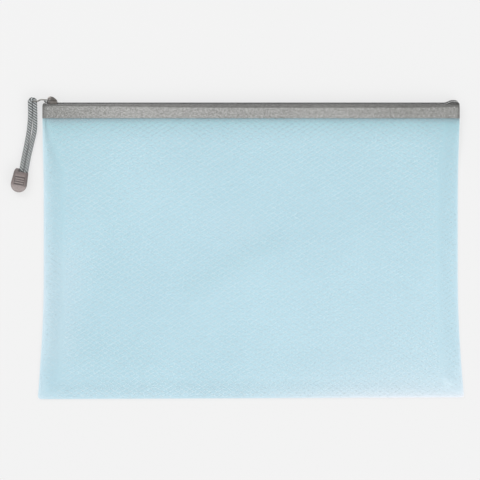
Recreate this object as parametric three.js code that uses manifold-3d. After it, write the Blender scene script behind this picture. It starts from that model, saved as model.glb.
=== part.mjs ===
// Mesh zipper pouch, A4 size, lying on its back with the zipper closed.
// Millimetres. X runs along the zipper, Y from the bottom seam to the zipper, Z up from the table.
// The middle of the back face is the origin.

import * as THREE from "three";
import { mergeVertices } from "three/addons/utils/BufferGeometryUtils.js";
import Module from "manifold-3d";

const wasm = await Module();
wasm.setup();

// Outline seen from above: wide at the zipper and the foot, drawn in a little between
const BOTTOM_Y = -119.4;
const TOP_HALF_WIDTH = 168.3;
const WAIST_DRAW_IN = 1.6; // how much narrower the pouch is at mid height than at the zipper
const FOOT_FLARE = 4.1; // how much wider it is at the foot than at the zipper
const WAIST_TOP_Y = 30;
const WAIST_BOTTOM_Y = -19;
const FOOT_CORNER_RADIUS = 2.5;
const FOOT_SKEW = 0.7; // the bottom seam lies this much nearer to the zipper at its right end

// Film panels, and the gap kept between pieces that lie on each other
const FILM = 0.5;
const SEAT = 0.3;
const WELD_WIDTH = 3.2;
const BELLY_RISE = 14; // distance over which a panel climbs from its weld
const BELLY_HEIGHT = 5.8;

// Zipper tapes: each runs out from the chain, turns the shoulder and comes down its panel
const SHOULDER_Y = 118;
const TAPE = 0.5;
const TAPE_DROP = 11.3; // how far a tape comes down from the shoulder
const ZIP_HALF_DEPTH = 4.7; // from the middle of the chain to the outside of a tape
const TAPE_EDGE = 1.15; // from the middle of the chain to a tape's inner edge
const SHOULDER_RADIUS = 1.3;
const PANEL_DROP = 2.1; // how far a panel's top edge lies below the shoulder

// The ends of the zipper, pinched flat in the side welds
const END_WELD = 1.2;
const LEFT_PINCH = 3;
const RIGHT_PINCH = 11;
const LEFT_END_RISE = 1.3;
const RIGHT_END_RISE = 2;
const END_CORNER_RADIUS = 2.4;
const CHAIN_END = 1.2; // from the zipper's end to the chain

// Chain: two rows of teeth that lock across the middle
const TOOTH_PITCH = 2.3;
const TOOTH_TIP = 0.3; // width of a tooth's head
const TOOTH_REACH = 0.3; // how far a head crosses the middle
const SPINE_INNER = 1;
const SPINE_OUTER = 1.6;
const CHAIN_HEIGHT = 1.4;
const CHAIN_GAP = 0.2; // from the tape to the chain sewn on it

// Slider
const SLIDER_FROM_END = 3.7; // from the zipper's end to the slider's nose
const SLIDER_LENGTH = 8.2;
const NOSE_HALF_WIDTH = 3.8;
const TAIL_HALF_WIDTH = 3.1;
const FLANGE = 0.6;
const SLIDER_PLATE = 0.7;
const INNER_PLATE = 0.9;
const POST_LENGTH = 3.2;
const POST_HALF_WIDTH = 0.8;
const POST_GAP = 0.2; // between the post and the parted teeth
const CAP_HALF_WIDTH = 1.7;
const CAP_HEIGHT = 3.7;
const CAP_TAIL = 0.7; // height of the cap's tail
const PIVOT_FROM_NOSE = 2;
const PIN_RADIUS = 0.5;
const PIVOT_GAP = 0.3;

// Pull tab, seen edge on from above
const TAB_THICKNESS = 0.8;
const TAB_HALF_WIDTH = 3.3;
const TAB_ARM_GAP = 0.3; // between a tab arm and the cap
const TAB_WINDOW = 6.6; // from the pivot to the far side of the window
const TAB_BAR = 0.9;
const EYE_RADIUS = 2;
const EYE_FROM_PIVOT = 11.4;
const TAB_DROP = 1.1; // how far the eye end lies below the pivot

// Pull cord: one braided length, looped through the eye
const CORD_DIAMETER = 3.5;
const CORD_GAP = 0.2; // from the cord to the tab's bar, and between its strands
const CORD_LIFT = 0.15; // from the table to the cord
const CORD_SIDES = 8;
const CORD_STEPS = 78;
const CORD_BOW = 1.9; // how far the left strand bows towards the pouch
const STRAND_SPREAD = 0.6; // how much further the right strand bows

// Moulded grip on the cord's ends
const GRIP_LEFT_OF_BAR = 8.6;
const GRIP_BELOW_BAR = 54.5;
const GRIP_LEAN = (11 * Math.PI) / 180;
const GRIP_LENGTH = 19.1;
const GRIP_THICKNESS = 7;
const GRIP_TOP_HALF_WIDTH = 4.3;
const GRIP_SHOULDER_HALF_WIDTH = 5.9;
const GRIP_HALF_WIDTH = 6.5;
const GRIP_EDGE = 1.8;
const GRIP_NOTCH_DEPTH = 2.4;
const GRIP_STRAND_X = -0.1; // the left strand's place across the grip's top
const PANEL_FROM_TOP = 9.7;
const PANEL_HALF_WIDTH = 4.1;
const PANEL_HALF_LENGTH = 3.5;
const PANEL_DEPTH = 0.6;
const RIB_COUNT = 3;
const RIB_WIDTH = 0.95;
const RIB_PITCH = 1.8;

// Places that follow from the sizes above
const WAIST_HALF_WIDTH = TOP_HALF_WIDTH - WAIST_DRAW_IN;
const FOOT_HALF_WIDTH = TOP_HALF_WIDTH + FOOT_FLARE;
const TAPE_FOOT_Y = SHOULDER_Y - TAPE_DROP;
const PANEL_TOP_Y = SHOULDER_Y - PANEL_DROP;
const SLIDER_LEFT = SLIDER_FROM_END - TOP_HALF_WIDTH;
const ZIP_Z = ZIP_HALF_DEPTH;
const TAPE_INNER = ZIP_HALF_DEPTH - TAPE;
const PANEL_OUTER = TAPE_INNER - SEAT;
const WELD_HALF = FILM + SEAT / 2;
const CHAIN_Y = SHOULDER_Y + CHAIN_GAP;
const CHAIN_TOP_Y = CHAIN_Y + CHAIN_HEIGHT;
const TOP_PLATE_Y = CHAIN_TOP_Y + SEAT;
const CAP_Y = TOP_PLATE_Y + SLIDER_PLATE;
const INNER_PLATE_TOP_Y = SHOULDER_Y - TAPE - SEAT;
const PIVOT_X = SLIDER_LEFT + PIVOT_FROM_NOSE;
const PIVOT_Y = CAP_Y + PIVOT_GAP + PIN_RADIUS;
const EYE_X = PIVOT_X - EYE_FROM_PIVOT;
const BAR_X = EYE_X - EYE_RADIUS - TAB_BAR / 2;
const BAR_Y = PIVOT_Y - TAB_DROP;
const GRIP_TOP_X = BAR_X - GRIP_LEFT_OF_BAR;
const GRIP_TOP_Y = BAR_Y - GRIP_BELOW_BAR;
const CORD_BEND = TAB_BAR / 2 + CORD_GAP + CORD_DIAMETER / 2;
const CORD_LIE = CORD_LIFT + CORD_DIAMETER / 2;
const STRAND_SPACING = CORD_DIAMETER + CORD_GAP;
const PARTING = TOOTH_REACH + POST_HALF_WIDTH + POST_GAP;

const RISE_STEPS = [0, 0.2, 0.4, 0.6, 0.8, 1];
const INNER_COLUMNS = 9;
const INNER_ROWS = 9;

function clamp(value) {
  return Math.min(Math.max(value, 0), 1);
}

function smooth(value) {
  const t = clamp(value);
  return t * t * (3 - 2 * t);
}

function mix(from, to, share) {
  return from + (to - from) * share;
}

// How far a rounded corner is cut back at this depth from its end
function cornerCut(depth, radius) {
  const left = clamp((radius - depth) / radius) * radius;
  return radius - Math.sqrt(radius ** 2 - left ** 2);
}

// Turns a three.js geometry into a solid that can be cut and joined
function solid(geometry) {
  const bare = geometry.index ? geometry.toNonIndexed() : geometry.clone();
  bare.deleteAttribute("normal");
  bare.deleteAttribute("uv");
  const merged = mergeVertices(bare, 1e-4);
  const triVerts = new Uint32Array(merged.index.array);
  const vertProperties = new Float32Array(merged.attributes.position.array);
  const made = new wasm.Manifold(new wasm.Mesh({ numProp: 3, vertProperties, triVerts }));
  if (made.volume() >= 0) {
    return made;
  }
  for (let i = 0; i < triVerts.length; i += 3) {
    [triVerts[i + 1], triVerts[i + 2]] = [triVerts[i + 2], triVerts[i + 1]];
  }
  return new wasm.Manifold(new wasm.Mesh({ numProp: 3, vertProperties, triVerts }));
}

// Turns a solid back into a three.js geometry
function geometryOf(body) {
  const mesh = body.getMesh();
  const corners = new Float32Array(mesh.numVert * 3);
  for (let i = 0; i < mesh.numVert; i++) {
    corners.set(mesh.vertProperties.subarray(i * mesh.numProp, i * mesh.numProp + 3), i * 3);
  }
  const geometry = new THREE.BufferGeometry();
  geometry.setAttribute("position", new THREE.BufferAttribute(corners, 3));
  geometry.setIndex(new THREE.BufferAttribute(new Uint32Array(mesh.triVerts), 1));
  geometry.computeVertexNormals();
  return geometry;
}

// Moves every corner of a geometry to where the given function puts it
function moved(geometry, place) {
  const position = geometry.getAttribute("position");
  const corner = new THREE.Vector3();
  for (let i = 0; i < position.count; i++) {
    corner.fromBufferAttribute(position, i);
    position.setXYZ(i, ...place(corner.x, corner.y, corner.z));
  }
  return geometry;
}

// A closed outline through points given as [x, y]
function outline(points) {
  return new THREE.Shape(points.map(([x, y]) => new THREE.Vector2(x, y)));
}

// The same outline as straight edges, without the doubled points where its curves meet
function faceted(shape, curveSegments) {
  const points = shape.getPoints(curveSegments);
  const kept = points.filter((point, i) => point.distanceTo(points[(i + 1) % points.length]) > 1e-3);
  return new THREE.Shape(kept);
}

// A prism whose outline lies in X and Z, between two heights in Y
function plateBetween(points, fromY, toY) {
  const geometry = new THREE.ExtrudeGeometry(outline(points), { depth: toY - fromY, bevelEnabled: false });
  return solid(moved(geometry, (x, z, y) => [x, fromY + y, ZIP_Z + z]));
}

// A box between two corners
function boxBetween(from, to) {
  const geometry = new THREE.BoxGeometry(to[0] - from[0], to[1] - from[1], to[2] - from[2]);
  geometry.translate((from[0] + to[0]) / 2, (from[1] + to[1]) / 2, (from[2] + to[2]) / 2);
  return solid(geometry);
}

// The pouch's half width at this height of the picture
function halfWidth(y) {
  const above = clamp((y - WAIST_TOP_Y) / (TAPE_FOOT_Y - 3 - WAIST_TOP_Y));
  const below = clamp((WAIST_BOTTOM_Y - y) / (WAIST_BOTTOM_Y - BOTTOM_Y));
  const flare = WAIST_DRAW_IN * above ** 2 + (WAIST_DRAW_IN + FOOT_FLARE) * below ** 2;
  return WAIST_HALF_WIDTH + flare - cornerCut(y - BOTTOM_Y, FOOT_CORNER_RADIUS);
}

// How near a row is to the zipper: 0 on the belly, 1 where the tape covers the panel
function nearZip(y) {
  return smooth((y - (TAPE_FOOT_Y - 47)) / 44);
}

// How far a panel has climbed from a weld at this distance from the edge
function climb(distance, weld, rise) {
  return smooth((distance - weld) / rise);
}

// How far open the zipper's end is at this X: 0 in the side weld, 1 where the slider can run
function zipOpen(x) {
  return climb(TOP_HALF_WIDTH - Math.abs(x), END_WELD, x < 0 ? LEFT_PINCH : RIGHT_PINCH);
}

// How much the chain rises at this X because its ends are pinched
function endRise(x) {
  return (1 - zipOpen(x)) * (x < 0 ? LEFT_END_RISE : RIGHT_END_RISE);
}

// Distances from the left edge of one row's columns, closest together where the panel climbs
function columnsAt(y) {
  const near = nearZip(y);
  const weld = mix(WELD_WIDTH, END_WELD, near);
  const left = RISE_STEPS.map((step) => weld + step * mix(BELLY_RISE, LEFT_PINCH, near));
  const right = RISE_STEPS.map((step) => weld + step * mix(BELLY_RISE, RIGHT_PINCH, near));
  const width = 2 * halfWidth(y);
  const inner = [];
  for (let i = 1; i < INNER_COLUMNS; i++) {
    inner.push(mix(left.at(-1), width - right.at(-1), i / INNER_COLUMNS));
  }
  return [0, ...left, ...inner, ...right.reverse().map((s) => width - s), width];
}

// Distances from the bottom seam of the rows
function panelRows() {
  const foot = [0, 0.28 * FOOT_CORNER_RADIUS, FOOT_CORNER_RADIUS];
  const rise = RISE_STEPS.map((step) => WELD_WIDTH + step * BELLY_RISE);
  const last = TAPE_FOOT_Y - 3 - BOTTOM_Y;
  const inner = [];
  for (let i = 1; i < INNER_ROWS; i++) {
    inner.push(mix(rise.at(-1), last, i / INNER_ROWS));
  }
  return [...foot, ...rise, ...inner, last, TAPE_FOOT_Y + 1 - BOTTOM_Y, PANEL_TOP_Y - BOTTOM_Y];
}

// How far both panels stand apart at a column and row, from 0 in the welds to 1 on the belly
function spread(left, y) {
  const near = nearZip(y);
  const weld = mix(WELD_WIDTH, END_WELD, near);
  const right = 2 * halfWidth(y) - left;
  const sides = climb(left, weld, mix(BELLY_RISE, LEFT_PINCH, near)) *
    climb(right, weld, mix(BELLY_RISE, RIGHT_PINCH, near));
  return sides * climb(y - BOTTOM_Y, WELD_WIDTH, BELLY_RISE);
}

// Height of the side and bottom welds' middle: on the table, but level with the chain at the zipper
function weldHeight(y) {
  return mix(WELD_HALF, ZIP_Z, nearZip(y));
}

function frontFace(left, y) {
  const belly = mix(BELLY_HEIGHT, ZIP_Z + PANEL_OUTER, nearZip(y));
  return mix(weldHeight(y) + WELD_HALF, belly, spread(left, y));
}

function backFace(left, y) {
  const belly = (ZIP_Z - PANEL_OUTER) * smooth((y - (TAPE_FOOT_Y - 13)) / 9);
  return mix(weldHeight(y) - WELD_HALF, belly, spread(left, y));
}

// A film panel: the same grid of columns and rows, with the outer face given and its film inside it
function filmPanel(outerFace, inward) {
  const rows = panelRows();
  const columnCount = columnsAt(0).length - 1;
  const rowCount = rows.length - 1;
  const sheet = new THREE.BoxGeometry(columnCount, rowCount, 1, columnCount, rowCount, 1);
  return moved(sheet, (u, v, side) => {
    const y = BOTTOM_Y + rows[Math.round(v + rowCount / 2)];
    const left = columnsAt(y)[Math.round(u + columnCount / 2)];
    const x = left - halfWidth(y);
    const skew = FOOT_SKEW * (x / FOOT_HALF_WIDTH) * clamp(y / BOTTOM_Y);
    const outside = side > 0 === inward < 0;
    return [x, y + skew, outerFace(left, y) + (outside ? 0 : inward * FILM)];
  });
}

function frontPanel() {
  return geometryOf(solid(filmPanel(frontFace, -1)));
}

function backPanel() {
  return geometryOf(solid(filmPanel(backFace, 1)));
}

// Draws a point of the zipper in towards the chain's middle, and up, near the pinched ends
function pinched(x, y, z) {
  const share = (WELD_HALF + SEAT + (TAPE_INNER - WELD_HALF - SEAT) * zipOpen(x)) / TAPE_INNER;
  const inside = Math.min(Math.abs(z), TAPE_INNER);
  const beyond = Math.abs(z) - inside;
  const lift = endRise(x) - cornerCut(TOP_HALF_WIDTH - Math.abs(x), END_CORNER_RADIUS);
  const follows = clamp((y - TAPE_FOOT_Y) / (SHOULDER_Y - TAPE_FOOT_Y));
  return [x, y + lift * follows, ZIP_Z + Math.sign(z) * (inside * share + beyond)];
}

// Places along the zipper where a tape's section is drawn
function tapeStations() {
  const left = RISE_STEPS.map((step) => END_WELD + step * LEFT_PINCH - TOP_HALF_WIDTH);
  const right = RISE_STEPS.map((step) => TOP_HALF_WIDTH - END_WELD - step * RIGHT_PINCH).reverse();
  const middle = [];
  for (let i = 1; i < 8; i++) {
    middle.push(mix(left.at(-1), right[0], i / 8));
  }
  const end = TOP_HALF_WIDTH;
  return [-end, 0.4 - end, ...left, ...middle, ...right, end - 0.4, end];
}

// Section of the front tape as [distance from the chain's middle, Y]
function tapeSection() {
  const points = [[TAPE_EDGE, SHOULDER_Y]];
  const centreZ = ZIP_HALF_DEPTH - SHOULDER_RADIUS;
  const centreY = SHOULDER_Y - SHOULDER_RADIUS;
  for (let i = 0; i <= 3; i++) {
    const turn = ((90 - 30 * i) * Math.PI) / 180;
    points.push([centreZ + SHOULDER_RADIUS * Math.cos(turn), centreY + SHOULDER_RADIUS * Math.sin(turn)]);
  }
  points.push([ZIP_HALF_DEPTH, TAPE_FOOT_Y], [TAPE_INNER, TAPE_FOOT_Y]);
  const inner = SHOULDER_RADIUS - TAPE;
  for (let i = 3; i >= 0; i--) {
    const turn = ((90 - 30 * i) * Math.PI) / 180;
    points.push([centreZ + inner * Math.cos(turn), centreY + inner * Math.sin(turn)]);
  }
  points.push([TAPE_EDGE, SHOULDER_Y - TAPE]);
  return points;
}

// One tape: its section drawn along the zipper; side is 1 for the front and -1 for the back
function tape(side) {
  const stations = tapeStations();
  const steps = stations.length - 1;
  const section = outline(tapeSection());
  const strip = new THREE.ExtrudeGeometry(section, { depth: steps, steps, bevelEnabled: false });
  return geometryOf(solid(moved(strip, (z, y, step) => pinched(stations[Math.round(step)], y, side * z))));
}

// How far each row of teeth is parted at this X to pass the slider's post
function parting(x) {
  const open = SLIDER_LEFT + POST_LENGTH + TOOTH_PITCH * 0.75;
  return PARTING * (1 - smooth((x - open) / (SLIDER_LENGTH - POST_LENGTH - TOOTH_PITCH * 0.3)));
}

// Places along one row of teeth, each with the distance of its inner edge from the middle
function toothStations(offset) {
  const start = CHAIN_END - TOP_HALF_WIDTH;
  const count = Math.ceil((-2 * start) / TOOTH_PITCH - offset) - 1;
  const flank = (TOOTH_PITCH - TOOTH_TIP) / 2;
  const stations = [[start, SPINE_INNER]];
  for (let i = 0; i < count; i++) {
    const valley = start + TOOTH_PITCH * (i + offset);
    stations.push([valley, SPINE_INNER]);
    stations.push([valley + flank, -TOOTH_REACH]);
    stations.push([valley + flank + TOOTH_TIP, -TOOTH_REACH]);
  }
  stations.push([start + TOOTH_PITCH * (count + offset), SPINE_INNER]);
  stations.push([-start, SPINE_INNER]);
  return stations;
}

// One row of teeth on its spine; offset is a share of the pitch, so that two rows lock
function chainRow(side, offset) {
  const stations = toothStations(offset);
  const steps = stations.length - 1;
  const bar = new THREE.BoxGeometry(steps, 1, 1, steps, 1, 1);
  return geometryOf(solid(moved(bar, (u, v, w) => {
    const [x, inner] = stations[Math.round(u + steps / 2)];
    const away = w > 0 ? SPINE_OUTER : inner;
    return pinched(x, CHAIN_Y + (v > 0 ? CHAIN_HEIGHT : 0), side * (away + parting(x)));
  })));
}

// Slider outline in X and Z, from the wide nose at the left to the narrow tail
function sliderOutline(nose, tail, overhang) {
  const left = SLIDER_LEFT - overhang;
  const right = SLIDER_LEFT + SLIDER_LENGTH + overhang;
  const bend = SLIDER_LEFT + SLIDER_LENGTH * 0.6;
  return [
    [left, -nose + 1.1],
    [left + 1.1, -nose],
    [bend, -nose],
    [right, -tail],
    [right, tail],
    [bend, nose],
    [left + 1.1, nose],
    [left, nose - 1.1],
  ];
}

// Slider body: two plates held together by the post, with a flange down each side of the outer one
function sliderBody() {
  const flangeBottom = SHOULDER_Y + SEAT;
  const outer = plateBetween(sliderOutline(NOSE_HALF_WIDTH, TAIL_HALF_WIDTH, 0), flangeBottom, CAP_Y);
  const bend = SLIDER_LEFT + SLIDER_LENGTH * 0.6;
  const right = SLIDER_LEFT + SLIDER_LENGTH + 1;
  const nose = NOSE_HALF_WIDTH - FLANGE;
  const tail = TAIL_HALF_WIDTH - FLANGE - 0.25;
  const channel = plateBetween(
    [
      [SLIDER_LEFT - 1, -nose],
      [bend, -nose],
      [right, -tail],
      [right, tail],
      [bend, nose],
      [SLIDER_LEFT - 1, nose],
    ],
    flangeBottom - 1,
    TOP_PLATE_Y,
  );
  const inner = plateBetween(
    sliderOutline(NOSE_HALF_WIDTH - 0.3, TAIL_HALF_WIDTH, 0),
    INNER_PLATE_TOP_Y - INNER_PLATE,
    INNER_PLATE_TOP_Y,
  );
  const postLeft = SLIDER_LEFT + 0.4;
  const post = plateBetween(
    [
      [postLeft, -POST_HALF_WIDTH * 0.6],
      [postLeft + POST_LENGTH * 0.3, -POST_HALF_WIDTH],
      [postLeft + POST_LENGTH * 0.6, -POST_HALF_WIDTH],
      [postLeft + POST_LENGTH, 0],
      [postLeft + POST_LENGTH * 0.6, POST_HALF_WIDTH],
      [postLeft + POST_LENGTH * 0.3, POST_HALF_WIDTH],
      [postLeft, POST_HALF_WIDTH * 0.6],
    ],
    INNER_PLATE_TOP_Y - INNER_PLATE / 2,
    TOP_PLATE_Y + SLIDER_PLATE / 2,
  );
  return geometryOf(outer.subtract(channel).add(inner).add(post));
}

// Domed cap over the tab's pin, highest above the nose and sloping down to the tail
function sliderCap() {
  const left = SLIDER_LEFT + 0.2;
  const right = SLIDER_LEFT + SLIDER_LENGTH - 0.2;
  const top = CAP_Y + CAP_HEIGHT;
  const profile = new THREE.Shape();
  profile.moveTo(left, CAP_Y);
  profile.lineTo(right, CAP_Y);
  profile.lineTo(right, CAP_Y + CAP_TAIL);
  profile.bezierCurveTo(right - 2.2, CAP_Y + CAP_HEIGHT * 0.8, right - 3.2, top, left + 2.6, top);
  profile.bezierCurveTo(left + 0.9, top, left + 0.1, CAP_Y + CAP_HEIGHT * 0.7, left, CAP_Y);
  const bevel = CAP_TAIL / 2;
  const dome = new THREE.ExtrudeGeometry(faceted(profile, 6), {
    depth: 2 * (CAP_HALF_WIDTH - bevel),
    bevelEnabled: true,
    bevelSize: bevel,
    bevelOffset: -bevel,
    bevelThickness: bevel,
    bevelSegments: 2,
  });
  dome.translate(0, 0, ZIP_Z - CAP_HALF_WIDTH + bevel);
  const seat = boxBetween([left - 1, CAP_Y - 2, 0], [right + 1, CAP_Y, 2 * ZIP_Z]);
  const boreRadius = PIN_RADIUS + PIVOT_GAP;
  const bore = new THREE.CylinderGeometry(boreRadius, boreRadius, 4 * CAP_HALF_WIDTH, 16);
  bore.rotateX(Math.PI / 2);
  bore.translate(PIVOT_X, PIVOT_Y, ZIP_Z);
  return geometryOf(solid(dome).subtract(seat).subtract(solid(bore)));
}

// Middle line of the tab's bent plate, from the pivot to past the eye
function tabLine() {
  return new THREE.CatmullRomCurve3([
    new THREE.Vector3(PIVOT_X, PIVOT_Y, 0),
    new THREE.Vector3(PIVOT_X - 3.5, PIVOT_Y + 0.15, 0),
    new THREE.Vector3(PIVOT_X - 7, PIVOT_Y + 0.3, 0),
    new THREE.Vector3(EYE_X + 1.8, mix(PIVOT_Y, BAR_Y, 0.75), 0),
    new THREE.Vector3(EYE_X - 0.6, BAR_Y, 0),
    new THREE.Vector3(EYE_X - 8, BAR_Y, 0),
  ]);
}

// Pull tab: a bent plate with a pin across the slider end, a window for the cap and an eye
function pullTab() {
  const upper = [];
  const lower = [];
  const line = tabLine();
  for (let i = 0; i <= 20; i++) {
    const point = line.getPointAt(i / 20);
    const along = line.getTangentAt(i / 20);
    upper.push([point.x - (along.y * TAB_THICKNESS) / 2, point.y + (along.x * TAB_THICKNESS) / 2]);
    lower.unshift([point.x + (along.y * TAB_THICKNESS) / 2, point.y - (along.x * TAB_THICKNESS) / 2]);
  }
  const bent = new THREE.ExtrudeGeometry(outline([...upper, ...lower]), {
    depth: 2 * TAB_HALF_WIDTH,
    bevelEnabled: false,
  });
  bent.translate(0, 0, ZIP_Z - TAB_HALF_WIDTH);
  const end = BAR_X - TAB_BAR / 2;
  const round = [];
  for (let i = 0; i <= 12; i++) {
    const turn = ((90 + 15 * i) * Math.PI) / 180;
    round.push([EYE_X + (EYE_X - end) * Math.cos(turn), TAB_HALF_WIDTH * Math.sin(turn)]);
  }
  const low = PIVOT_Y - 6;
  const high = PIVOT_Y + 6;
  const shape = plateBetween([[PIVOT_X, -TAB_HALF_WIDTH], [PIVOT_X, TAB_HALF_WIDTH], ...round], low, high);
  const arm = CAP_HALF_WIDTH + TAB_ARM_GAP;
  const window = boxBetween([PIVOT_X - TAB_WINDOW, low, ZIP_Z - arm], [PIVOT_X + 1, high, ZIP_Z + arm]);
  const eye = new THREE.CylinderGeometry(EYE_RADIUS, EYE_RADIUS, high - low, 20);
  eye.translate(EYE_X, PIVOT_Y, ZIP_Z);
  const pin = new THREE.CylinderGeometry(PIN_RADIUS, PIN_RADIUS, 2 * TAB_HALF_WIDTH, 16);
  pin.rotateX(Math.PI / 2);
  pin.translate(PIVOT_X, PIVOT_Y, ZIP_Z);
  return geometryOf(solid(bent).intersect(shape).subtract(window).subtract(solid(eye)).add(solid(pin)));
}

// A point of the grip's own frame, across and down from the middle of its top end
function gripPoint(across, down, height) {
  const x = GRIP_TOP_X + across * Math.cos(GRIP_LEAN) - down * Math.sin(GRIP_LEAN);
  const y = GRIP_TOP_Y - across * Math.sin(GRIP_LEAN) - down * Math.cos(GRIP_LEAN);
  return new THREE.Vector3(x, y, height);
}

// Points of one strand, from the grip up to the side of its bend over the tab's bar
function strandLine(across, bendSide) {
  const middle = GRIP_THICKNESS / 2;
  const foot = gripPoint(across, GRIP_NOTCH_DEPTH - SEAT, middle);
  const top = new THREE.Vector3(BAR_X + bendSide * CORD_BEND, BAR_Y, ZIP_Z);
  const points = [foot, gripPoint(across, -SEAT, middle)];
  for (const share of [0.2, 0.4, 0.6, 0.8, 0.94]) {
    const drop = mix(middle, CORD_LIE, smooth(share / 0.3));
    const height = mix(drop, ZIP_Z, smooth((share - 0.55) / 0.42));
    const bow = (CORD_BOW + (bendSide > 0 ? STRAND_SPREAD : 0)) * Math.sin(Math.PI * share ** 1.5);
    points.push(new THREE.Vector3(mix(foot.x, top.x, share) + bow, mix(foot.y, top.y, share), height));
  }
  return points;
}

// The cord's route: up the left strand, over the tab's bar, through the eye and down the right strand
function cordLine() {
  const over = [];
  for (let i = 0; i <= 6; i++) {
    const turn = ((180 - 30 * i) * Math.PI) / 180;
    const x = BAR_X + CORD_BEND * Math.cos(turn);
    over.push(new THREE.Vector3(x, BAR_Y + CORD_BEND * Math.sin(turn), ZIP_Z));
  }
  const left = strandLine(GRIP_STRAND_X, -1);
  const right = strandLine(GRIP_STRAND_X + STRAND_SPACING, 1).reverse();
  return new THREE.CatmullRomCurve3([...left, ...over, ...right]);
}

function pullCord() {
  const section = [];
  for (let i = 0; i < CORD_SIDES; i++) {
    const turn = ((i + 0.5) * 2 * Math.PI) / CORD_SIDES;
    section.push([(CORD_DIAMETER / 2) * Math.cos(turn), (CORD_DIAMETER / 2) * Math.sin(turn)]);
  }
  const tube = new THREE.ExtrudeGeometry(outline(section), { extrudePath: cordLine(), steps: CORD_STEPS });
  return geometryOf(solid(tube));
}

// Moulded grip: shouldered at the top, round at the bottom, notched where the strands enter
function pullGrip() {
  const shape = new THREE.Shape();
  const lobe = GRIP_LENGTH - GRIP_HALF_WIDTH;
  shape.moveTo(-GRIP_TOP_HALF_WIDTH, 0);
  shape.quadraticCurveTo(-GRIP_SHOULDER_HALF_WIDTH, -1.4, -GRIP_SHOULDER_HALF_WIDTH, -4.4);
  shape.lineTo(-GRIP_HALF_WIDTH, -lobe);
  shape.absarc(0, -lobe, GRIP_HALF_WIDTH, Math.PI, 2 * Math.PI, false);
  shape.lineTo(GRIP_SHOULDER_HALF_WIDTH, -4.4);
  shape.quadraticCurveTo(GRIP_SHOULDER_HALF_WIDTH, -1.4, GRIP_TOP_HALF_WIDTH, 0);
  const rounding = [0, 0.13, 0.5, 1].map((share) => share * GRIP_EDGE);
  const heights = [...rounding, ...rounding.toReversed().map((height) => GRIP_THICKNESS - height)];
  const steps = heights.length - 1;
  const body = new THREE.ExtrudeGeometry(faceted(shape, 8), { depth: steps, steps, bevelEnabled: false });
  moved(body, (x, y, step) => {
    const height = heights[Math.round(step)];
    const middle = Math.min(Math.max(y, -lobe), -GRIP_TOP_HALF_WIDTH);
    const reach = Math.hypot(x, y - middle);
    const kept = 1 - cornerCut(Math.min(height, GRIP_THICKNESS - height), GRIP_EDGE) / reach;
    return [x * kept, middle + (y - middle) * kept, height];
  });
  const half = CORD_DIAMETER / 2 + SEAT;
  const notchLow = [GRIP_STRAND_X - half, -GRIP_NOTCH_DEPTH, -1];
  const notchHigh = [GRIP_HALF_WIDTH, 2, GRIP_THICKNESS + 1];
  let made = solid(body).subtract(boxBetween(notchLow, notchHigh));
  for (const face of [0, GRIP_THICKNESS]) {
    const low = [-PANEL_HALF_WIDTH, -PANEL_FROM_TOP - PANEL_HALF_LENGTH, face - PANEL_DEPTH];
    const high = [PANEL_HALF_WIDTH, -PANEL_FROM_TOP + PANEL_HALF_LENGTH, face + PANEL_DEPTH];
    made = made.subtract(boxBetween(low, high));
    for (let i = 0; i < RIB_COUNT; i++) {
      const y = -PANEL_FROM_TOP + (i - (RIB_COUNT - 1) / 2) * RIB_PITCH;
      const shy = face === 0 ? 0.1 : -0.1;
      const from = [0.4 - PANEL_HALF_WIDTH, y - RIB_WIDTH / 2, Math.min(face + shy, face + 12 * shy)];
      const to = [PANEL_HALF_WIDTH - 0.4, y + RIB_WIDTH / 2, Math.max(face + shy, face + 12 * shy)];
      made = made.add(boxBetween(from, to));
    }
  }
  return moved(geometryOf(made), (x, y, z) => gripPoint(x, -y, z).toArray());
}

function finish(color, roughness, metalness, opacity = 1) {
  return new THREE.MeshStandardMaterial({ color, roughness, metalness, opacity, transparent: opacity < 1 });
}

function piece(name, geometry, material) {
  const mesh = new THREE.Mesh(geometry, material);
  mesh.name = name;
  return mesh;
}

const pouch = new THREE.Group();
pouch.add(
  piece("back_panel", backPanel(), finish(0xb9d9e2, 0.45, 0, 0.6)),
  piece("front_panel", frontPanel(), finish(0xc2dde8, 0.45, 0, 0.6)),
  piece("back_tape", tape(-1), finish(0xa3a4a2, 0.85, 0)),
  piece("front_tape", tape(1), finish(0xa6a7a4, 0.85, 0)),
  piece("back_chain", chainRow(-1, 0.25), finish(0x686866, 0.5, 0)),
  piece("front_chain", chainRow(1, 0.75), finish(0x6b6b69, 0.5, 0)),
);

const slider = new THREE.Group();
slider.add(
  piece("slider_body", sliderBody(), finish(0x8a8580, 0.32, 0.9)),
  piece("slider_cap", sliderCap(), finish(0x7d7670, 0.32, 0.9)),
);

const pull = new THREE.Group();
pull.add(
  piece("pull_tab", pullTab(), finish(0x7c7a77, 0.35, 0.9)),
  piece("pull_cord", pullCord(), finish(0x8f9496, 0.9, 0)),
  piece("pull_grip", pullGrip(), finish(0x7b7170, 0.55, 0)),
);

const part = new THREE.Group();
part.add(pouch, slider, pull);

export default part;
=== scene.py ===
"""Mesh zipper pouch, A4 size, lying on its back on a pale table and seen from straight above.

Metres. X runs along the zipper, Y from the bottom seam to the zipper, Z up from the table.
The middle of the back face is the origin.
"""

import logging
import math
from dataclasses import dataclass
from enum import Enum
from typing import Callable, Sequence

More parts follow.
